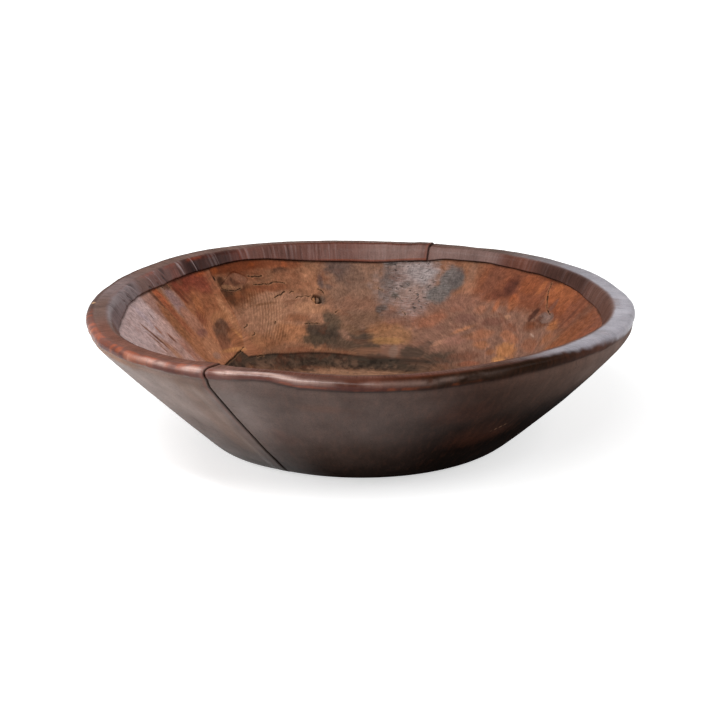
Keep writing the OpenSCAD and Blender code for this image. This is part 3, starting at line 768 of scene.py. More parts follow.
# Dabs on the fillers, their rings as shares of the way out, and how far their sides slope in, in mm
LEFT_TINTS = [
    ("674231", 0.95, 124.6, 18, 22, 18, 0.3, 0.3), ("7a5341", 0.7, 123.4, 14, 7, 9),
    ("8e6549", 0.7, 128.6, 27, 8, 2.6, 0.5, 0.4, -24), ("4c2f23", 0.8, 121.6, 8, 5, 6),
    ("8a6047", 0.5, 125.6, 29, 8, 2, 0.5, 0.4), ("452b20", 0.6, 126.4, 22, 3, 7, 0.6, 0.5, 20),
]
RIGHT_TINTS = [
    ("70584f", 0.95, 25.6, 42, 15, 8, 0.35, 0.3, 8), ("7b645c", 0.7, 26, 39, 8, 4),
    ("5b3a2d", 0.7, 27.8, 46, 6, 5), ("8a6a5c", 0.5, 23.6, 43, 5, 3),
]
FILLER_RINGS = [0.1, 0.2, 0.3, 0.4, 0.5, 0.6, 0.68, 0.76, 0.83, 0.89, 0.94, 1.0]
FILLER_TAPER = 1.6


def filler_patch(name, shares, size, tints, seed):
    """Hard wood filler: a lumpy top that feathers out over the edge of its recess."""
    centre_down = from_edge(size[0], size[1])
    local_r = wall_radius(size[0], centre_down)
    outline = patch_outline(shares, size)
    middle = outline.mean(axis=0)
    spokes = outline - middle
    reach = np.array(FILLER_RINGS)[None, :]
    ring = middle + spokes[:, None] * reach[..., None]
    low_ring = middle + spokes * (1 - FILLER_TAPER / np.linalg.norm(spokes, axis=1))[:, None]
    bottom = INLAY_GAP - FILLER_L

    def place(points):
        return size[0] + np.degrees(points[..., 1] / local_r), centre_down - points[..., 0]

    def with_side(values):
        return np.concatenate([values, values[:, -1:]], axis=1)

    deg, down = place(ring)
    canvas = Canvas(deg, down, local_r, WOOD_BASE, WOOD_SEED)
    relief, tone, cut, below = wood_relief(canvas)
    lumps = 0.35 * noise(ring[..., 0] / 4.2 + 40, ring[..., 1] / 4.2 + 40, seed)
    lumps += 0.2 * noise(ring[..., 0] / 1.9 + 40, ring[..., 1] / 1.9 + 40, seed + 1)
    top = on_wall(deg, down, relief + (0.2 + lumps) * ramp(1.0, 0.6, reach) + 0.05)
    low = on_wall(*place(low_ring), np.full(len(outline), bottom))
    ends = plug_ends(*place(middle), relief[:, 0].mean() + 0.3, bottom)
    paint_wall(canvas, tone, below)
    canvas.dabs(tints, ramp(1.0, 0.8, reach + 0.12 * canvas.wide + 0.1 * canvas.fleck))
    paint, grain = canvas.colour, wrapped(deg, down, GRAIN_R)
    return make_mesh(name, listed(np.concatenate([top, low[:, None]], axis=1), ends),
                     closed_faces(len(outline), reach.size + 1, flip=True),
                     {"paint": listed(with_side(paint), paint[:1, 0], paint[:1, 0]),
                      "grain": listed(with_side(grain), grain[:1, 0], grain[:1, 0]),
                      "cut": listed(with_side(cut), [0, 0])})


# The knot's rings as shares of its half width, and the heights of its side and of its middle
KNOT_SEGMENTS, KNOT_RINGS = 56, [0.12, 0.28, 0.44, 0.6, 0.75, 0.88, 0.97, 1.0]
KNOT_SIDES, KNOT_SIDE_H, KNOT_MIDDLE_H = [0.97, 0.9], -7.0, -2.0


def dead_knot():
    """Loose plug of a dead knot, split in two, against the left side of its hole."""
    angle = np.linspace(0, 2 * math.pi, KNOT_SEGMENTS, endpoint=False)[:, None]
    edge = KNOT_W / 2 * (1 - 0.05 * np.cos(3 * angle + 0.8) ** 2 - 0.04 * np.cos(7 * angle) ** 2)
    reach = np.array(KNOT_RINGS)[None, :]
    beside = edge * reach * np.sin(angle)
    split = hump(beside + 0.35 * np.cos(3 * angle), 0.3, 0.6)
    face = (-0.7 + 0.18 * np.sin(reach * 19) - 1.6 * split - 0.5 * (beside < 0)
            - 0.9 * ramp(0.84, 1.0, reach) + 0.3 * np.sin(2 * angle + 1) * reach)
    bottom = INLAY_GAP - KNOT_HOLE_L
    height = np.concatenate([face, np.ones((KNOT_SEGMENTS, 2)) * (KNOT_SIDE_H, bottom)], 1)
    out = edge * np.array(KNOT_RINGS + KNOT_SIDES)
    shift = (KNOT_HOLE_W - KNOT_W) / 2 - INLAY_GAP
    down = from_edge(KNOT_DEG, KNOT_DOWN)
    radius = wall_radius(KNOT_DEG, down)
    grid = on_wall(KNOT_DEG + np.degrees((out * np.sin(angle) + shift) / radius),
                   down - out * np.cos(angle), height)
    points = listed(grid, plug_ends(KNOT_DEG + math.degrees(shift / radius), down, KNOT_MIDDLE_H, bottom))
    paint = laid(plain(face.shape, "745a49"), "94694a", ramp(-0.2, 0.8, beside))
    # Painted shade in the plug's split and along its top edge under the hole's rim; its sides and bottom,
    # down in the hole, painted dark as shade
    paint = laid(paint, "140c07", 0.95 * split * ramp(1.05, 0.9, reach))
    paint = laid(paint, "1a0f09", 0.9 * ramp(0.35, 0.75, np.cos(angle) * reach))
    paint = np.concatenate([paint, plain((KNOT_SEGMENTS, 2), "1d120b")], 1)
    return make_mesh("dead_knot_plug", points, closed_faces(*grid.shape[:2], flip=True),
                     {"paint": listed(paint, plain((2,), "1a0f09")), "grain": points * MM})


# The bowl: one closed mesh of the underside, the side under the leather, the inner wall and the floor

WALL_ROWS, HIDDEN_STEP = 160, 6
FLOOR_RADII = np.concatenate([np.linspace(123, 100, 12), np.linspace(96, 4, 24)])
BASE_RADII = np.array([6.0, 24.0, 44.0, 64.0, 84.0, 102.0, 114.0])


def wood_columns():
    """Azimuths of the wood's columns: closer together where marks are fine."""
    return np.concatenate([np.arange(8, 188, 0.25), np.arange(188, 368, 0.6)])


def grain_lean(deg, down):
    """How far the grain's marks lean sideways down the wall, in mm of azimuth."""
    lean = -0.7 * around(deg, 141, 9) - 0.4 * around(deg, 119, 12) - 0.5 * around(deg, 96, 12)
    return (lean + 0.6 * ramp(84, 54, deg) * ramp(0, 20, deg)) * np.maximum(down - 50, 0)


def inner_wall(columns):
    """The inner wall's points, its painted canvas and its marks."""
    deg = bowl_grid(columns, WALL_ROWS)
    profile, down = inner_profile(deg, WALL_ROWS)
    canvas = Canvas(deg, down, profile[..., 0], WOOD_BASE, WOOD_SEED)
    relief, tone, cut, below = wood_relief(canvas)
    relief *= ramp(0, 0.05, np.linspace(0, 1, WALL_ROWS))[None, :]
    depth, hole = hole_depth(canvas)
    paint_wall(canvas, tone, below)
    canvas.dabs([("574439", 0.7, 102.4, 54.5, 5, 6, 0.3)])
    # Painted shade in the knot hole
    canvas.lay("150d08", 0.95 * hole)
    canvas.dabs([("5c483c", 0.9, KNOT_DEG - 1.5, from_edge(KNOT_DEG, KNOT_DOWN) + 1, 2.2, 5, 0.2, 0.3)])
    wall = to_xyz(profile + outward(profile) * (relief - depth)[..., None], deg)
    marks = {
        "grain": wrapped(deg + np.degrees(grain_lean(deg, down) / GRAIN_R), down, GRAIN_R),
        "flat": ramp(140, 156, down), "cut": cut,
        "pits": canvas.area(75, 22, 34, 44, 0.4, 0.5) * ramp(50, 62, deg)}
    return wall, canvas, marks


def hidden_side(columns):
    """The wood's outside, under the leather."""
    deg = bowl_grid(columns, SKIN_ROWS)
    hidden = skin(deg)
    hidden = (hidden - outward(hidden) * WOOD_DEPTH)[:, :-4:HIDDEN_STEP]
    return to_xyz(hidden, deg[:, :hidden.shape[1]])


def base_underside(columns):
    """The bare wood under the base."""
    deg = bowl_grid(columns, len(BASE_RADII))
    underside = to_xyz(point(BASE_RADII[None, :] + 0 * deg, WOOD_DEPTH + 0 * deg), deg)
    underside[..., 2] += 0.35 * noise(underside[..., 0] / 26, underside[..., 1] / 9, 70)
    return underside


def bowl_floor(columns, edge_z, edge_colour):
    """The floor's points and colours, which blend into the wall's at its edge."""
    deg = bowl_grid(columns, len(FLOOR_RADII))
    fall = (1 - FLOOR_RADII / (FOOT_R - COVE_L))[None, :]
    blend = ramp(0.0, 0.12, fall)
    z = edge_z * (1 - blend) + (FLOOR_H - FLOOR_DISH * fall) * blend
    floor = to_xyz(point(FLOOR_RADII[None, :] + 0 * deg, z), deg)
    x, y = floor[..., 0], floor[..., 1]
    floor[..., 2] += (0.5 * noise(x / 45, y / 30, 71) + 0.22 * noise(x / 30, y / 6, 72)) * blend
    edge_mix = ramp(0.0, 0.14, fall + 0.05 * noise(x / 24, y / 18, 85))[..., None]
    return floor, edge_colour * (1 - edge_mix) + floor_colours(x, y) * edge_mix


def floor_colours(x, y):
    """Floor: tan, with long grain along X, stains and flour-worn patches."""
    patchy = 0.6 * noise(x / 60, y / 34, 81) + 0.4 * noise(x / 26, y / 12, 82)
    stain = np.hypot((x - 34) / 52, (y + 22) / 36) + 0.4 * noise(x / 16, y / 16, 83)
    ring = np.hypot(x, y) + 7 * noise(x / 20, y / 20, 84)
    paint = laid(plain(x.shape, "a27b63"), "5f4534", 0.7 * ramp(0.1, 0.6, patchy))
    paint = laid(paint, "a0785a", 0.6 * ramp(-0.1, -0.6, patchy))
    paint = laid(paint, "4a382c", 0.6 * ramp(1.25, 0.75, stain))
    return laid(paint, "5d4433", 0.3 * ramp(96, 124, ring))


def under_colours(x, y):
    """Bare wood under the base: duller, scuffed where it met tables."""
    patchy = 0.6 * noise(x / 55, y / 18, 91) + 0.4 * noise(x / 20, y / 6, 92)
    paint = laid(plain(x.shape, "6f5240"), "8a6b54", 0.6 * ramp(0, 0.6, patchy))
    return laid(paint, "4b382c", 0.6 * ramp(0, -0.6, patchy))


def carved_bowl():
    """The whole wooden bowl as one closed mesh."""
    columns = wood_columns()
    wall, canvas, marks = inner_wall(columns)
    floor, floor_paint = bowl_floor(columns, wall[:, -1:, 2], canvas.colour[:, -1:])
    hidden, underside = hidden_side(columns), base_underside(columns)
    under_paint = under_colours(underside[..., 0], underside[..., 1])
    grid = np.concatenate([underside, hidden, wall, floor], axis=1)
    paint = np.concatenate([under_paint, plain(hidden.shape[:2], "6b4a36"), canvas.colour, floor_paint],
                           axis=1)
    # Grain, cracks and pits: the inner wall has its own values, the rest of the bowl plain ones
    ends = np.array([[0, 0, WOOD_DEPTH], [0, 0, FLOOR_H - FLOOR_DISH]])
    first = underside.shape[1] + hidden.shape[1]
    on_inner_wall = slice(first, first + WALL_ROWS)
    level = np.zeros(grid.shape[:2])
    level[:, :underside.shape[1]] = 1
    level[:, first + WALL_ROWS:] = 1
    fields = {"paint": listed(paint, under_paint[:1, 0], floor_paint[:1, -1])}
    for label, plain_value, end_value in (("grain", grid * MM, ends * MM), ("flat", level, [1, 1]),
                                          ("cut", 0 * level, [0, 0]), ("pits", 0 * level, [0, 0])):
        plain_value[:, on_inner_wall] = marks[label]
        fields[label] = listed(plain_value, end_value)
    return make_mesh("carved_bowl_wood", listed(grid, ends), closed_faces(*grid.shape[:2]), fields)


# Leather

# Degrees between a panel's columns, from a seam to the even field, and between two fields
FIELD_STEP, SEAM_MARGIN, FIELD_GAP = 0.3, 1.1, 0.2
# Rows of the face for each row of the back
BACK_STEP = 4
# Radii of the rounded edges, and the limits of the relief
EDGE_ROUND, LAP_ROUND, LOWEST, HIGHEST = 1.0, 1.2, -2.2, 1.8
PLEATS_FROM, PLEATS_TO = 92.0, 188.0
LEATHER_BASE, LEATHER_SEED, BACK_SHADE = "4a362f", 31, 0.6

# Columns near a panel's end, in degrees from it
END_STEPS = np.array([0, 0.05, 0.11, 0.18, 0.27, 0.38, 0.5, 0.65, 0.85])
GROOVE_STEPS = np.array([0.0, 0.1, 0.19, 0.25, 0.29, 0.33, 0.38, 0.44, 0.52, 0.65, 0.85])

# Dents: azimuth, place past the land, half width in degrees, half length, depth
DENTS = [(223, 12, 3, 6, 0.9), (213, 10, 2.4, 5, 0.7), (203, 12, 2, 6, 0.8), (197, 9, 1.6, 4, 0.5),
         (350.5, 9, 1.3, 7, 1.0), (345, 3, 2.2, 5, 0.4), (353, -2, 3, 5, 0.5), (337, 6, 2.0, 5, 0.4),
         (12, 2, 3, 6, 0.8), (4, 8, 2, 6, 0.6), (268, 10, 4, 4, 0.2), (289, 9, 5, 5, 0.2),
         (305, 8, 4, 5, -0.5), (322, 8, 3, 6, 0.7), (166, 6, 4, 7, 0.5), (146, 7, 4, 7, 0.6),
         (118, 8, 5, 7, 0.5), (96, 7, 5, 7, -0.5), (60, 6, 4, 7, 0.5), (38, 6, 4, 8, 0.6),
         (176, 22, 3, 12, 0.7), (186, -4, 4, 5, 0.6)]

# Where the rolled edge and the pale top of the rim end past the land, in mm, at azimuths
ROLL_END = ([0, 40, 150, 195, 215, 232, 241, 246, 249, 252, 255, 258, 275, 300, 330, 360],
            [15, 15, 14, 12.5, 13, 13.5, 13.5, 11.5, 9.5, 10, 13, 15.5, 16, 16.5, 16, 15])
PALE_END = ([0, 60, 90, 250, 290, 310, 330, 345, 360], [18, 14, 2, -2, 0, 2, 9, 15, 18])

# Pleats: azimuth, half width in degrees, strength, tilt
PLEATS = [
    (171.5, 1.5, 1.2, -1.1), (167.5, 1.3, 1.2, -1.1), (163.8, 1.5, 1.2, -1.1), (159.5, 1.2, 0.9, -1.0),
    (154.8, 1.2, 1.3, -0.9), (151.2, 1.0, 1.3, -0.9), (148, 1.0, 1.2, -0.8), (140.6, 0.9, 1.2, -0.5),
    (135.6, 1.1, 1.3, -0.3), (129, 2.4, 0.3, -0.2), (121, 2.0, 0.5, -0.1), (113, 3.0, 0.8, 0.0),
    (108, 3.0, 0.7, 0.0), (100, 4.0, 0.4, 0.0), (182, 4.0, 0.4, -0.4)]

# The leather's paint: outer wall, land, inner band, and two scars
# Outer wall: grey-brown lighter at the left and at the right as painted sheen, near black low at the front
# right as painted shade
OUTER_STRIPS = [
    ("857067", 1.0, (158, 238), (14, 190), 14, 6), ("8c7a74", 0.6, (172, 220), (24, 90), 12, 20),
    ("67534b", 0.8, (160, 238), (110, 190), 14, 24), ("5c4b45", 1.0, (240.3, 270), (10, 190), 10, 6),
    ("7b6963", 0.8, (240.3, 248), (24, 120), 7, 18), ("463731", 0.9, (250, 282), (110, 200), 12, 24),
    ("452f27", 1.0, (288, 372), (10, 200), 16, 6), ("6b564d", 0.8, (300, 372), (14, 92), 14, 16),
    ("78655e", 0.8, (326, 372), (12, 70), 10, 12), ("0d0604", 0.96, (280, 352), (72, 205), 20, 32),
]
OUTER_DABS = [
    ("55342a", 0.5, 294, 66, 30, 16, 0.3, 0.6), ("4a281b", 0.5, 303, 110, 34, 22, 0.3, 0.6),
    ("66483c", 0.4, 262, 46, 26, 6, 0.3, 0.7), ("5e4137", 0.4, 250, 108, 12, 16, 0.3, 0.7),
]
# Wear on the outer wall, with the dark 2a1b15 at the front right as painted shade
OUTER_WEAR_AND_SHADE = [
    ("2a1b15", 0.6, (284, 318), (24, 110), 12, 24), ("4a3831", 0.8, (10, 150), (14, 190), 14, 10),
    ("84634f", 0.35, (231, 238.4), (30, 170), 1.5, 10, 3),
    ("95684a", 0.6, (192, 222), (17, 32), 8, 5, 6),
]
LAND_STRIPS = [
    ("744a3d", 0.8, (196, 242), (-2, 16), 7, 2), ("5b352a", 0.9, (246, 290), (-1, 16), 8, 2),
    ("4b3229", 0.8, (290, 316), (-1, 16), 8, 2), ("7d6e6e", 0.7, (158, 176), (-2, 12), 6, 3),
    ("5a2a1a", 0.9, (70, 116), (-4, 4), 8, 1.5), ("65544d", 0.85, (26, 56), (-2, 16), 8, 2),
]
BAND_STRIPS = [
    # The lilac grey at the far left, 7c6b6c, is partly painted sheen
    ("7c6b6c", 0.95, (160, 196), (-24, -2), 4, 3), ("6c4a44", 0.9, (142, 160), (-24, -2), 2, 3),
    ("77594f", 0.6, (155, 160), (-24, -2), 2, 3), ("38201c", 0.95, (122, 139.5), (-24, -2), 2, 3),
    ("66352a", 0.7, (120, 124), (-24, -4), 3, 3), ("744136", 0.7, (141.6, 144.6), (-24, -4), 1, 3),
    ("66453d", 0.9, (104, 119), (-24, -2), 3, 3), ("6c4b43", 0.9, (72, 104), (-24, -2), 5, 2),
    ("80655e", 0.9, (72, 89), (-24, -2), 5, 2), ("7d655f", 0.9, (52, 71.5), (-24, -2), 3, 2),
    ("633d31", 0.85, (40, 51), (-24, -2), 3, 2), ("49332d", 0.95, (17, 41), (-24, -2), 3, 2),
    ("63483f", 0.9, (-44, 17), (-24, -2), 4, 2), ("5e4438", 0.7, (196, 316), (-24, -2), 8, 2),
]
SCARS = [("c39a74", 0.95, 181, 14, 2.6, 1.8, 0.3), ("8a6a52", 0.6, 308.5, 108, 9, 0.6, 0.1, 0.5, -28)]


def mm_to_deg(width):
    return math.degrees(width / RIM_R)


def field_between(first, last, step=FIELD_STEP):
    return np.linspace(first, last, int((last - first) / step) + 1)


def past_land(deg, down):
    """Distance along the profile past the land's flat part, in mm."""
    return down - (LAND_W * share(LAND_SHARES, deg) - RIM_ROUND_L)


def roll_end(deg):
    wobble = 0.8 * round_noise(deg, 0 * deg, 60, 9, 121, 3)
    return np.interp(np.mod(deg, 360), *ROLL_END) + wobble


def pleat_folds(deg, down):
    """Folds of the turned-down leather: their height, -1 to 1, and how strong they are."""
    strength, lean, crest = 0.12 + 0 * deg, 0.0, 0.0
    for centre, half, amount, tilt in PLEATS:
        near = around(deg, centre, half)
        strength = np.maximum(strength, amount * near)
        lean = lean + tilt * near
        aside = turn_from(deg, centre) + np.degrees(tilt * (down + 10) / RIM_R)
        crest = crest + (amount > 1) * (1.0 * hump(aside, 0, 0.5 * half) - 0.5 * hump(aside, 0, 1.4 * half))
    u = np.radians(deg) * RIM_R + lean * (down + 10)
    fold = 0.65 * noise(u / 2.6, down / 60 + 9, 110) + 0.35 * noise(u / 1.5, down / 50 + 9, 111)
    fold += 0.4 * noise(u / 6.5, down / 70 + 9, 112)
    return np.clip(fold * 1.3 + crest, -1, 1), strength


def leather_relief(deg, down):
    """Height of the leather's face above its even skin: waves, the rolled edge, dents and folds."""
    relief = 0.45 * round_noise(deg, down, 26, 60, 101, 2)
    relief += 0.10 * round_noise(deg, down, 160, 9, 104, 2)
    edge, end = past_land(deg, down), roll_end(deg)
    on_rim = window(edge, -18, -8, 14, 34)
    relief += 0.30 * on_rim * round_noise(deg, down, 64, 22, 107, 2)
    relief += 0.16 * on_rim * round_noise(deg, down, 200, 6, 127, 2)
    thick = 0.35 + 0.65 * window(deg, 180, 196, 316, 348)
    relief += thick * (1.1 * hump(edge, end - 5.0, 4.5) - 0.9 * hump(edge, end + 2.4, 2.4))
    for centre, place, width, length, depth in DENTS:
        relief -= depth * around(deg, centre, width) * hump(edge, place, length)
    fold, strength = pleat_folds(deg, down)
    relief += strength * ramp(2, -8, down) * 0.75 * fold
    return np.clip(relief, LOWEST, HIGHEST)


def edge_rounding(distance, radius):
    """How far a rounded edge lies below the face, at a distance from the edge."""
    t = np.clip(1 - distance / radius, 0, 1)
    return radius * (1 - np.sqrt(1 - t * t))


def panel_faces(columns):
    """Faces of a panel's face and back, and of the four edges between them."""
    rows, few = SKIN_ROWS, (SKIN_ROWS - 1) // BACK_STEP + 1
    base = columns * rows
    faces = grid_quads(columns, rows) + grid_quads(columns, few, first=base, flip=True)
    k = np.arange(columns - 1)
    for outer_row, back_row, flip in ((0, 0, True), (rows - 1, few - 1, False)):
        quads = np.stack([k * rows + outer_row, (k + 1) * rows + outer_row,
                          base + (k + 1) * few + back_row, base + k * few + back_row], 1)
        faces += (quads[:, ::-1] if flip else quads).tolist()
    for column, flip in ((0, False), (columns - 1, True)):
        for j in range(few - 1):
            face = [column * rows + BACK_STEP * j + i for i in range(BACK_STEP + 1)]
            face += [base + column * few + j + 1, base + column * few + j]
            faces.append(face[::-1] if flip else face)
    return faces


def panel_mesh(name, nominal, lift, depth):
    """Closed panel of leather from its columns, with the face's lift and the back's depth."""
    even_deg = bowl_grid(nominal, SKIN_ROWS)
    deg = leaned(even_deg, down_the_wall(skin(even_deg)))
    profile = skin(deg)
    down = down_the_wall(profile)
    normal = outward(profile)
    over_wall = ramp(ENDS[1] + 2, ENDS[2] + 4, np.arange(SKIN_ROWS))[None, :]
    from_cut, from_base = np.abs(down - down[:, -1:]), np.abs(down - down[:, :1])
    height = lift(even_deg, over_wall) + leather_relief(deg, down) * over_wall
    height -= edge_rounding(from_cut, EDGE_ROUND) + edge_rounding(from_base, EDGE_ROUND)
    outer = to_xyz(profile + normal * height[..., None], deg)
    back = to_xyz(profile - normal * depth(even_deg)[..., None], deg)
    canvas = Canvas(deg, down, profile[..., 0], LEATHER_BASE, LEATHER_SEED)
    paint_leather(canvas, even_deg, from_cut)

    def both(face, back):
        return listed(face, listed(back[:, ::BACK_STEP]))

    fields = {"paint": both(canvas.colour, canvas.colour * BACK_SHADE)}
    for label, values in (("grain", wrapped(deg, down, RIM_R)), ("pleats", canvas.pleats),
                          ("worn", canvas.worn), ("polish", canvas.polish)):
        fields[label] = both(values, values)
    return make_mesh(name, both(outer, back), panel_faces(len(nominal)), fields)


def left_panel():
    """The panel whose two ends lap over the other one."""
    lap = mm_to_deg(LAP_W)
    nominal = np.concatenate([BACK_SEAM + END_STEPS,
                              field_between(BACK_SEAM + SEAM_MARGIN, PLEATS_FROM),
                              field_between(PLEATS_FROM + FIELD_GAP, PLEATS_TO, 0.5 * FIELD_STEP),
                              field_between(PLEATS_TO + FIELD_GAP, FRONT_SEAM - SEAM_MARGIN),
                              (FRONT_SEAM - END_STEPS)[::-1]])

    def from_end(deg):
        return np.minimum(deg - BACK_SEAM, FRONT_SEAM - deg)

    def proud(deg):
        return 1 - ramp(lap, 2 * lap, from_end(deg))

    def lift(deg, over_wall):
        end = np.radians(from_end(deg)) * RIM_R
        bead = 0.25 * hump(end, 2.2, 1.6)
        return (LAP_LIFT * proud(deg) + bead) * over_wall - edge_rounding(end, LAP_ROUND)

    def depth(deg):
        return LEATHER_T - LAP_LIFT * proud(deg)

    return panel_mesh("left_leather_panel", nominal, lift, depth)


def right_panel():
    """The panel with a pared tongue under each lap, and an open groove beside it."""
    lap, groove = mm_to_deg(LAP_W), mm_to_deg(GROOVE_W)
    bevel = mm_to_deg(LEATHER_T - TONGUE_T)
    front, back = FRONT_SEAM, BACK_SEAM + 360
    nominal = np.concatenate([field_between(front - lap, front - FIELD_GAP), front + GROOVE_STEPS,
                              field_between(front + SEAM_MARGIN, back - SEAM_MARGIN),
                              (back - GROOVE_STEPS)[::-1], field_between(back + FIELD_GAP, back + lap)])

    def lift(deg, over_wall):
        end = np.minimum(deg - front, back - deg)
        t = np.clip((end - groove) / bevel, 0, 1)
        bead = 0.2 * hump(np.radians(end) * RIM_R, 4, 2)
        return -(LEATHER_T - TONGUE_T) * (1 - np.sqrt(1 - (1 - t) ** 2)) + bead * over_wall

    def depth(deg):
        return LEATHER_T + 0 * deg

    return panel_mesh("right_leather_panel", nominal, lift, depth)


# Dark brown leather, worn red along the rim; greyer at the left and right as painted sheen, near black low
# at the front right as painted shade, and darker towards the foot

def paint_outside(c):
    c.lay("5b4a44", ramp(8, 24, c.down))
    # The strips carry painted sheen at the left and right and painted shade low at the front right
    c.strips(OUTER_STRIPS)
    c.dabs(OUTER_DABS)
    c.strips(OUTER_WEAR_AND_SHADE)
    # Darker towards the foot, less at the left
    foot = ramp(124, 200, c.down + 8 * c.wide)
    c.lay("150c08", 0.66 * foot * (1 - 0.7 * hump(np.mod(c.deg, 360), 205, 28)))


def paint_roll(c, edge, end):
    """Rolled edge: red-brown, rubbed to orange at the left, near black at the front right as painted shade.
    """
    deg, left = c.deg, window(c.deg, 182, 196, 246, 268)
    roll = ramp(-1, 3, edge) * ramp(0.8, -0.8, edge - end + 0.9 * c.fleck + 0.8 * c.wide)
    c.lay("4a2d24", 0.95 * roll)
    c.lay("6d3420", 0.95 * roll * left)
    c.lay("98441c", 0.85 * roll * left * ramp(242, 236, deg) * ramp(-0.1, 0.45, c.streak + 0.6 * c.fleck))
    c.lay("4e2413", 0.9 * roll * window(deg, 250, 260, 280, 300))
    # Near black on the side at the front right: painted shade
    c.lay("1e1006", 0.94 * roll * window(deg, 268, 288, 308, 332) * ramp(1, 6, edge))
    turn = np.mod(deg, 360)
    # Grey at the right, continuing the painted sheen of the rim's top
    c.lay("665650", 0.9 * roll * (ramp(328, 346, turn) + ramp(60, 40, turn)))
    c.lay("4a1a10", 0.85 * roll * ramp(-6.5, -3, edge - end) * window(deg, 192, 204, 266, 286))
    c.lay("9a4a26", 0.55 * roll * hump(edge, end - 1.8, 1.2) * window(deg, 246, 258, 280, 300)
          * ramp(-0.3, 0.7, c.fleck + 0.4 * c.wide))
    # Painted shadow line under the rolled edge
    c.lay("1c100b", 0.7 * hump(edge, end + 0.6, 1.2) * window(deg, 238, 250, 316, 340))
    # A pale line along the crest: partly wear, partly painted highlight
    worn_and_highlight_line = (hump(edge + 0.5 * c.fleck, end - 6.5, 2.4) * ramp(214, 228, deg)
                 * (0.25 * ramp(306, 280, deg) + 0.75 * ramp(268, 250, deg)))
    c.lay("dcbcb0", 0.62 * worn_and_highlight_line * ramp(-0.8, 0.2, c.wide + 0.5 * c.fleck))
    # Rubbed orange wear, with pale flecks that are partly painted glints
    rubbed = roll * window(deg, 184, 192, 222, 236) * ramp(4, 9, edge)
    c.lay("a65a36", 0.38 * rubbed * ramp(-0.2, 0.5, c.streak + 0.5 * c.wide))
    c.lay("d09a80", 0.4 * rubbed * ramp(0.45, 0.7, c.streak + 0.3 * c.wide_2))
    return roll


def paint_pale_top(c, edge):
    """The pale grey top of the rim at the right: painted sheen, partly worn grey leather."""
    turn, tone = np.mod(c.deg, 360), ramp(0.9, 0.1, c.wide_2)
    border = edge - np.interp(turn, *PALE_END) + 1.6 * c.wide + 1.2 * c.fleck
    pale = ramp(4, -3, border) * ramp(-6, 0, c.down) * (ramp(300, 322, turn) + ramp(56, 24, turn))
    full = np.clip(pale, 0, 1)
    c.lay("8f8b93", 0.97 * full * (0.6 + 0.4 * tone))
    c.lay("aba7b0", 0.8 * full * tone * around(c.deg, 356, 22))
    c.lay("2c2624", 0.4 * pale * around(c.deg, 350, 1.2) * ramp(0, 6, edge))
    return full


def paint_band(c, from_cut):
    """Inner band, turned down: red-brown, lilac grey at the far left partly as painted sheen, painted shade
    in its folds and painted highlight on their crests.
    """
    deg, down = c.deg, c.down
    inside = ramp(1, -5, down)
    c.lay("6d4a43", 0.98 * inside)
    c.strips(BAND_STRIPS)
    fold, strength = pleat_folds(deg, down)
    strength = np.clip(strength, 0, 1) * inside
    # Painted shade in the folds' hollows and painted highlight on their crests
    c.lay("2b1a18", 0.75 * strength * ramp(-0.05, -0.7, fold))
    c.lay("a89696", 0.6 * strength * ramp(0.25, 0.9, fold))
    c.lay("8a3c22", 0.5 * hump(down, -4.0, 2.2) * window(deg, 108, 118, 150, 160) * ramp(0.0, 0.5, c.wide))
    c.lay("7d3a1e", 0.8 * hump(from_cut, 1.7, 0.8) * (down < 0) * window(deg, 66, 74, 96, 106))
    # Dark along the cut edge: the burnished edge, and painted shade
    c.lay("221410", 0.6 * ramp(1.0, 0.1, from_cut) * (down < 0) * (1 - around(deg, 2, 16)))


def paint_seams(c, nominal):
    """Dirt and painted shade along the seams' grooves, wear on the lips of the laps."""
    for seam, side in ((FRONT_SEAM, -1), (BACK_SEAM, 1)):
        aside = np.radians(turn_from(nominal, seam)) * RIM_R
        # Dirt and painted shade in the seam's groove
        c.lay("1c0f0b", 0.85 * hump(aside, 0.5, 0.8))
        c.lay("7a4130", 0.4 * window(side * aside, 0.6, 1.4, 2.5, 6) * ramp(150, 60, c.down))


def leather_polish(deg, down, edge, end, roll, pale):
    """How glossy the finish is, 0 to 1: rubbed along the rim and the left wall, dull at the lower right."""
    turn = np.mod(deg, 360)
    outside, inside = ramp(6, 20, down), ramp(1, -5, down)
    left_wall, front_wall = window(turn, 150, 175, 236, 262), window(turn, 232, 246, 272, 300)
    polish = 0.015 + 0.03 * ramp(140, 80, down)
    polish += outside * (0.36 * left_wall + 0.16 * front_wall * ramp(150, 60, down))
    crest = 0.25 + 0.75 * hump(edge, end - 6.5, 4.5)
    polish += roll * (0.26 + 0.7 * ramp(230, 242, turn) * crest) * window(turn, 186, 200, 250, 284)
    polish += 0.04 * roll * ramp(286, 322, turn) + 0.45 * pale
    polish += 0.45 * inside * window(turn, 134, 146, 195, 215)
    polish += 0.08 * inside * window(turn, 45, 56, 134, 146)
    return np.clip(polish, 0, 1)


def paint_leather(canvas, nominal, from_cut):
    """All the paint of a panel, and where it is worn, pleated and polished."""
    c = canvas
    edge, end = past_land(c.deg, c.down), roll_end(c.deg)
    on_land = ramp(3, -1, edge) * ramp(-6, 0, c.down)
    paint_outside(c)
    c.lay("745c54", 0.95 * on_land)
    c.strips(LAND_STRIPS)
    roll = paint_roll(c, edge, end)
    pale = paint_pale_top(c, edge)
    paint_band(c, from_cut)
    paint_seams(c, nominal)
    c.dabs(SCARS)
    c.worn = np.clip(0.2 * roll + on_land * (1 - 0.6 * pale), 0, 1)
    c.pleats = ramp(2, -6, c.down)
    c.polish = leather_polish(c.deg, c.down, edge, end, roll, pale)


# Materials

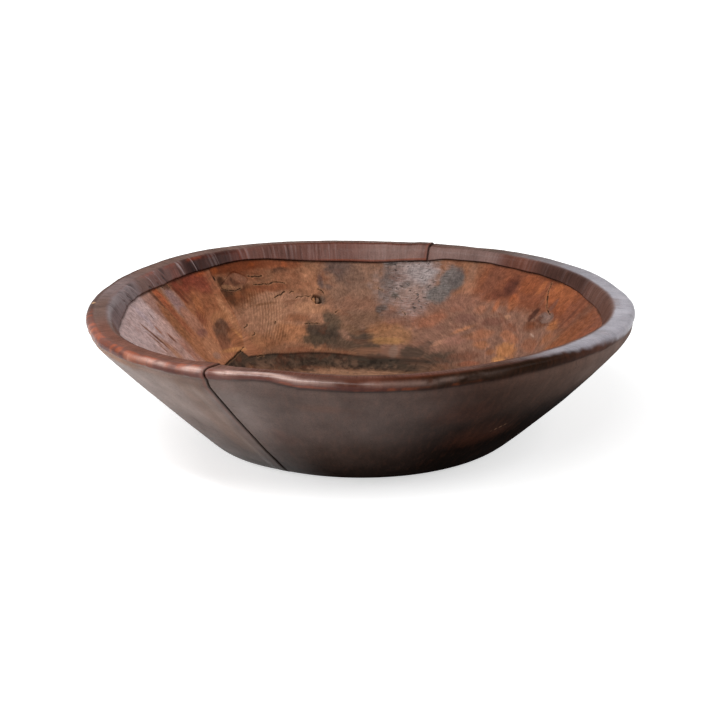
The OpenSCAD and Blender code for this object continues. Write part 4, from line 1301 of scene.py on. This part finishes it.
class Shader:
    """Short way to build the nodes of a material or of the world."""

    def __init__(self, owner):
        owner.use_nodes = True
        self.owner, self.tree = owner, owner.node_tree
        self.tree.nodes.clear()

    def node(self, kind, values=None, **settings):
        made = self.tree.nodes.new("ShaderNode" + kind)
        for label, value in settings.items():
            setattr(made, label, value)
        for label, value in (values or {}).items():
            if isinstance(value, bpy.types.NodeSocket):
                self.tree.links.new(value, made.inputs[label])
            else:
                made.inputs[label].default_value = value
        return made

    def field(self, name, output="Fac"):
        return self.node("Attribute", attribute_name=name).outputs[output]

    def stretched(self, vector, scale):
        return self.node("Mapping", {"Vector": vector, "Scale": scale}).outputs["Vector"]

    def noise(self, vector, scale, detail=3.0, rough=0.55, distortion=0.0):
        return self.node("TexNoise", {"Vector": vector, "Scale": scale, "Detail": detail,
                                      "Roughness": rough, "Distortion": distortion}).outputs["Fac"]

    def cells(self, vector, scale, feature="F1"):
        return self.node("TexVoronoi", {"Vector": vector, "Scale": scale},
                         feature=feature).outputs["Distance"]

    def spread(self, value, low, high, to_low=0.0, to_high=1.0):
        return self.node("MapRange", {"Value": value, "From Min": low, "From Max": high,
                                      "To Min": to_low, "To Max": to_high}).outputs["Result"]

    def math(self, operation, total, *others):
        for value in others:
            total = self.node("Math", {0: total, 1: value}, operation=operation).outputs[0]
        return total

    def times(self, *values):
        return self.math("MULTIPLY", *values)

    def plus(self, *values):
        return self.math("ADD", *values)

    def scaled(self, colour, factor):
        return self.node("VectorMath", {0: colour, "Scale": factor}, operation="SCALE").outputs["Vector"]

    def tinted(self, colour, tint, factor):
        return self.node("Mix", {0: factor, 6: colour, 7: (*linear(tint), 1)},
                         data_type="RGBA").outputs[2]

    def bumped(self, height, strength, distance):
        return self.node("Bump", {"Height": height, "Strength": strength,
                                  "Distance": distance}).outputs["Normal"]

    def finish(self, surface):
        shader = self.node("BsdfPrincipled", surface)
        self.node("OutputMaterial", {"Surface": shader.outputs[0]})
        return self.owner


def wood_material(name, fine=1.0, pores=1.0, rough=(0.45, 0.62)):
    """Carved wood: streaks down the wall and along the floor, pores, pits and cracks."""
    s = Shader(bpy.data.materials.new(name))
    paint, grain, flat = s.field("paint", "Color"), s.field("grain", "Vector"), s.field("flat")
    cut, pits = s.field("cut"), s.field("pits")

    def marks(stretch, *noise):
        return s.noise(s.stretched(grain, stretch), *noise)

    streaks = s.plus(s.times(marks((1.0, 1.0, 0.24), 950 * fine, 4, 0.6), s.math("SUBTRACT", 1.0, flat)),
                     s.times(marks((0.09, 1.0, 1.0), 560 * fine, 4), flat))
    hairs = marks((1.0, 1.0, 0.4), 2100 * fine, 2)
    broad = marks((1.0, 1.0, 0.8), 180, 6, 0.7, 0.4)
    warm = s.noise(grain, 60, 4, 0.6, 0.4)
    specks = marks((1.0, 1.0, 0.6), 1000, 2, 0.5)
    dashes = marks((1.0, 1.0, 0.8), 330, 3, 0.6, 0.4)
    rows = marks((0.25, 0.25, 1.0), 900, 3, 0.6)
    strokes = marks((1.0, 1.0, 0.45), 300 * fine, 4, 0.65, 0.6)
    level = s.times(s.spread(streaks, 0.25, 0.75, 1.3, 0.7), s.spread(broad, 0.25, 0.75, 1.35, 0.65),
                    s.spread(strokes, 0.25, 0.75, 1.25, 0.75), s.spread(hairs, 0.3, 0.7, 0.88, 1.14),
                    s.spread(specks, 0.64, 0.76, 1.0, 1.0 - 0.45 * pores))
    wander = s.plus(cut, s.spread(s.noise(grain, 900, 2), 0.25, 0.75, -0.7, 0.7))
    crack = s.spread(wander, CRACK_REACH - 0.35, CRACK_REACH + 0.1)
    colour = s.scaled(paint, level)
    for tint, factor in (
            ("7a3c22", s.spread(warm, 0.52, 0.72, 0.0, 0.25)),
            ("1b120d", s.times(s.spread(dashes, 0.60, 0.65, 0.0, 0.85), pits)),
            ("cfc3bf", s.times(s.spread(rows, 0.5, 0.8, 0.0, 0.4), pits)),
            ("2b1c14", s.times(s.spread(rows, 0.48, 0.24, 0.0, 0.5), pits)),
            # Painted highlight on the raised lips beside the cracks, and painted shade in the cracks
            ("b98a66", s.spread(wander, CRACK_REACH - 1.8, CRACK_REACH - 0.7, 0.0, 0.2)),
            ("140b06", s.times(crack, 0.85))):
        colour = s.tinted(colour, tint, factor)
    height = s.plus(s.times(streaks, -0.5), s.times(hairs, 0.25), s.times(broad, -1.0),
                    s.times(s.spread(specks, 0.62, 0.76), -0.4 * pores), s.times(crack, -1.0))
    return s.finish({"Base Color": colour, "Roughness": s.spread(broad, 0.3, 0.7, *rough),
                     "Specular IOR Level": 0.05, "Coat Weight": s.times(pits, 0.25),
                     "Coat Roughness": 0.3, "Normal": s.bumped(height, 0.6, 0.0006)})


FILLER_LOOK = {"fine": 0.8, "pores": 1.4, "rough": (0.5, 0.68)}


def leather_material():
    """Glazed leather: clouded and smeared, with creases, pores and fine lines down its folds."""
    s = Shader(bpy.data.materials.new("brown_leather"))
    paint, grain = s.field("paint", "Color"), s.field("grain", "Vector")
    pleats, worn, polish = s.field("pleats"), s.field("worn"), s.field("polish")
    place = s.node("TexCoord").outputs["Object"]
    cloud = s.noise(place, 30, 6, 0.62)
    smear = s.noise(s.stretched(grain, (1.0, 1.0, 0.45)), 130, 5, 0.62)
    fine, pores = s.noise(place, 1100, 2), s.cells(place, 700)
    creases = s.cells(s.stretched(place, (1.0, 1.0, 1.4)), 260, "DISTANCE_TO_EDGE")
    radial = s.noise(s.stretched(grain, (1.0, 1.0, 0.09)), 640, 3, 0.6, 0.3)
    hatched = s.math("MAXIMUM", worn, s.times(pleats, 0.5))
    lines = s.times(s.spread(radial, 0.3, 0.7, 0.3, -0.34), hatched)
    level = s.times(s.spread(cloud, 0.28, 0.72, 1.2, 0.8), s.spread(smear, 0.25, 0.75, 1.1, 0.9),
                    s.spread(fine, 0.3, 0.7, 1.07, 0.93), s.plus(lines, 1.0))
    colour = s.tinted(s.scaled(paint, level), "7a4630", s.spread(smear, 0.5, 0.3, 0.0, 0.08))
    # Painted shade in the fine creases
    colour = s.tinted(colour, "0e0705", s.spread(creases, 0.05, 0.0, 0.0, 0.2))
    height = s.plus(s.times(pores, 0.5), s.times(fine, 0.35), s.times(s.spread(creases, 0.0, 0.08), 0.35),
                    s.times(radial, 1.6, hatched))
    return s.finish({"Base Color": colour, "Roughness": s.spread(cloud, 0.3, 0.7, 0.42, 0.6),
                     "Specular IOR Level": 0.0,
                     "Coat Weight": s.times(polish, s.spread(cloud, 0.3, 0.7, 1.0, 0.7)),
                     "Coat Roughness": 0.26, "Normal": s.bumped(height, 0.4, 0.0005)})


# Studio, in metres

LENS, SENSOR_W, NEAR, FAR = 101.5, 36.0, 0.05, 50.0
EYE, LOOK_AT = (-0.0015, -2.006, 0.6827), (-0.0015, 0.0235, 0.070)
LAMP_TARGET = (0, 0, 0.08)
# Lamps: name, place, width and height, watts
LAMPS = [
    ("key_left", (-2.2, -0.9, 1.1), (1.5, 1.2), 24), ("strip", (-0.8, -0.75, 1.8), (3.2, 0.22), 34),
    ("fill_right", (2.0, -0.6, 1.7), (1.4, 1.4), 24)]
AMBIENT, BACKDROP = 0.25, 1.0
FLOOR_HALF, FLOOR_GREY = 4.0, 0.8
# How much the floor is lifted to white, near the bowl and far from it, and how far from the middle
FLOOR_LIFT, FLOOR_LIFT_AT = (0.6, 1.0), (0.5, 1.3)


def placed(name, data, place):
    """A new object at a place."""
    obj = bpy.data.objects.new(name, data)
    bpy.context.collection.objects.link(obj)
    obj.location = place
    return obj


def aim(obj, target):
    obj.rotation_mode = "QUATERNION"
    obj.rotation_quaternion = (Vector(target) - obj.location).to_track_quat("-Z", "Y")


def camera():
    data = bpy.data.cameras.new("camera")
    data.lens, data.sensor_width = LENS, SENSOR_W
    data.clip_start, data.clip_end = NEAR, FAR
    obj = placed("camera", data, EYE)
    aim(obj, LOOK_AT)
    bpy.context.scene.camera = obj


def softbox(name, place, size, watts):
    data = bpy.data.lights.new(name, "AREA")
    data.shape, data.size, data.size_y = "RECTANGLE", size[0], size[1]
    data.energy = watts
    aim(placed(name, data, place), LAMP_TARGET)


def seen(s):
    """1 where the eye, a reflection or glass looks, 0 for the light that falls on the object."""
    path = s.node("LightPath")
    total = path.outputs["Is Camera Ray"]
    for ray in ("Is Glossy Ray", "Is Transmission Ray"):
        total = s.math("MAXIMUM", total, path.outputs[ray])
    return total


def floor_plane():
    """Pale floor. What is seen of it is lifted to white, and the object's shadow stays on it."""
    mesh = bpy.data.meshes.new("floor")
    corners = [(x * FLOOR_HALF, y * FLOOR_HALF, 0) for x, y in ((-1, -1), (1, -1), (1, 1), (-1, 1))]
    mesh.from_pydata(corners, [], [(0, 1, 2, 3)])
    s = Shader(bpy.data.materials.new("pale_floor"))
    spot = s.node("NewGeometry").outputs["Position"]
    away = s.node("VectorMath", {0: spot}, operation="LENGTH").outputs["Value"]
    lift = s.spread(away, *FLOOR_LIFT_AT, *FLOOR_LIFT)
    diffuse = s.node("BsdfDiffuse", {"Color": (FLOOR_GREY, FLOOR_GREY, FLOOR_GREY, 1)})
    glow = s.node("Emission", {"Color": (1, 1, 1, 1), "Strength": s.times(seen(s), lift)})
    both = s.node("AddShader", {0: diffuse.outputs[0], 1: glow.outputs[0]})
    s.node("OutputMaterial", {"Surface": both.outputs[0]})
    mesh.materials.append(s.owner)
    placed("floor", mesh, (0, 0, 0))


def world():
    s = Shader(bpy.data.worlds.new("studio"))
    bpy.context.scene.world = s.owner
    strength = s.spread(seen(s), 0, 1, AMBIENT, BACKDROP)
    back = s.node("Background", {"Color": (1, 1, 1, 1), "Strength": strength})
    s.node("OutputWorld", {"Surface": back.outputs[0]})


def studio():
    world()
    floor_plane()
    for lamp in LAMPS:
        softbox(*lamp)
    camera()
    bpy.context.scene.view_settings.view_transform = "Standard"


def dress(piece, material, node):
    piece.data.materials.append(material)
    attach(piece, "root")
    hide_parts(node)


def main():
    leather = leather_material()
    dress(carved_bowl(), wood_material("carved_wood"), "carved_bowl")
    dress(left_panel(), leather, "left_leather_cover")
    dress(right_panel(), leather, "right_leather_cover")
    dress(dead_knot(), wood_material("knot_wood", fine=2.0), "dead_knot")
    dress(filler_patch("pale_filler_patch", LEFT_PATCH_SHARES, LEFT_PATCH, LEFT_TINTS, 301),
          wood_material("pale_filler", **FILLER_LOOK), "left_filler_patch")
    dress(filler_patch("dark_filler_patch", RIGHT_PATCH_SHARES, RIGHT_PATCH, RIGHT_TINTS, 311),
          wood_material("dark_filler", **FILLER_LOOK), "right_filler_patch")
    studio()


main()
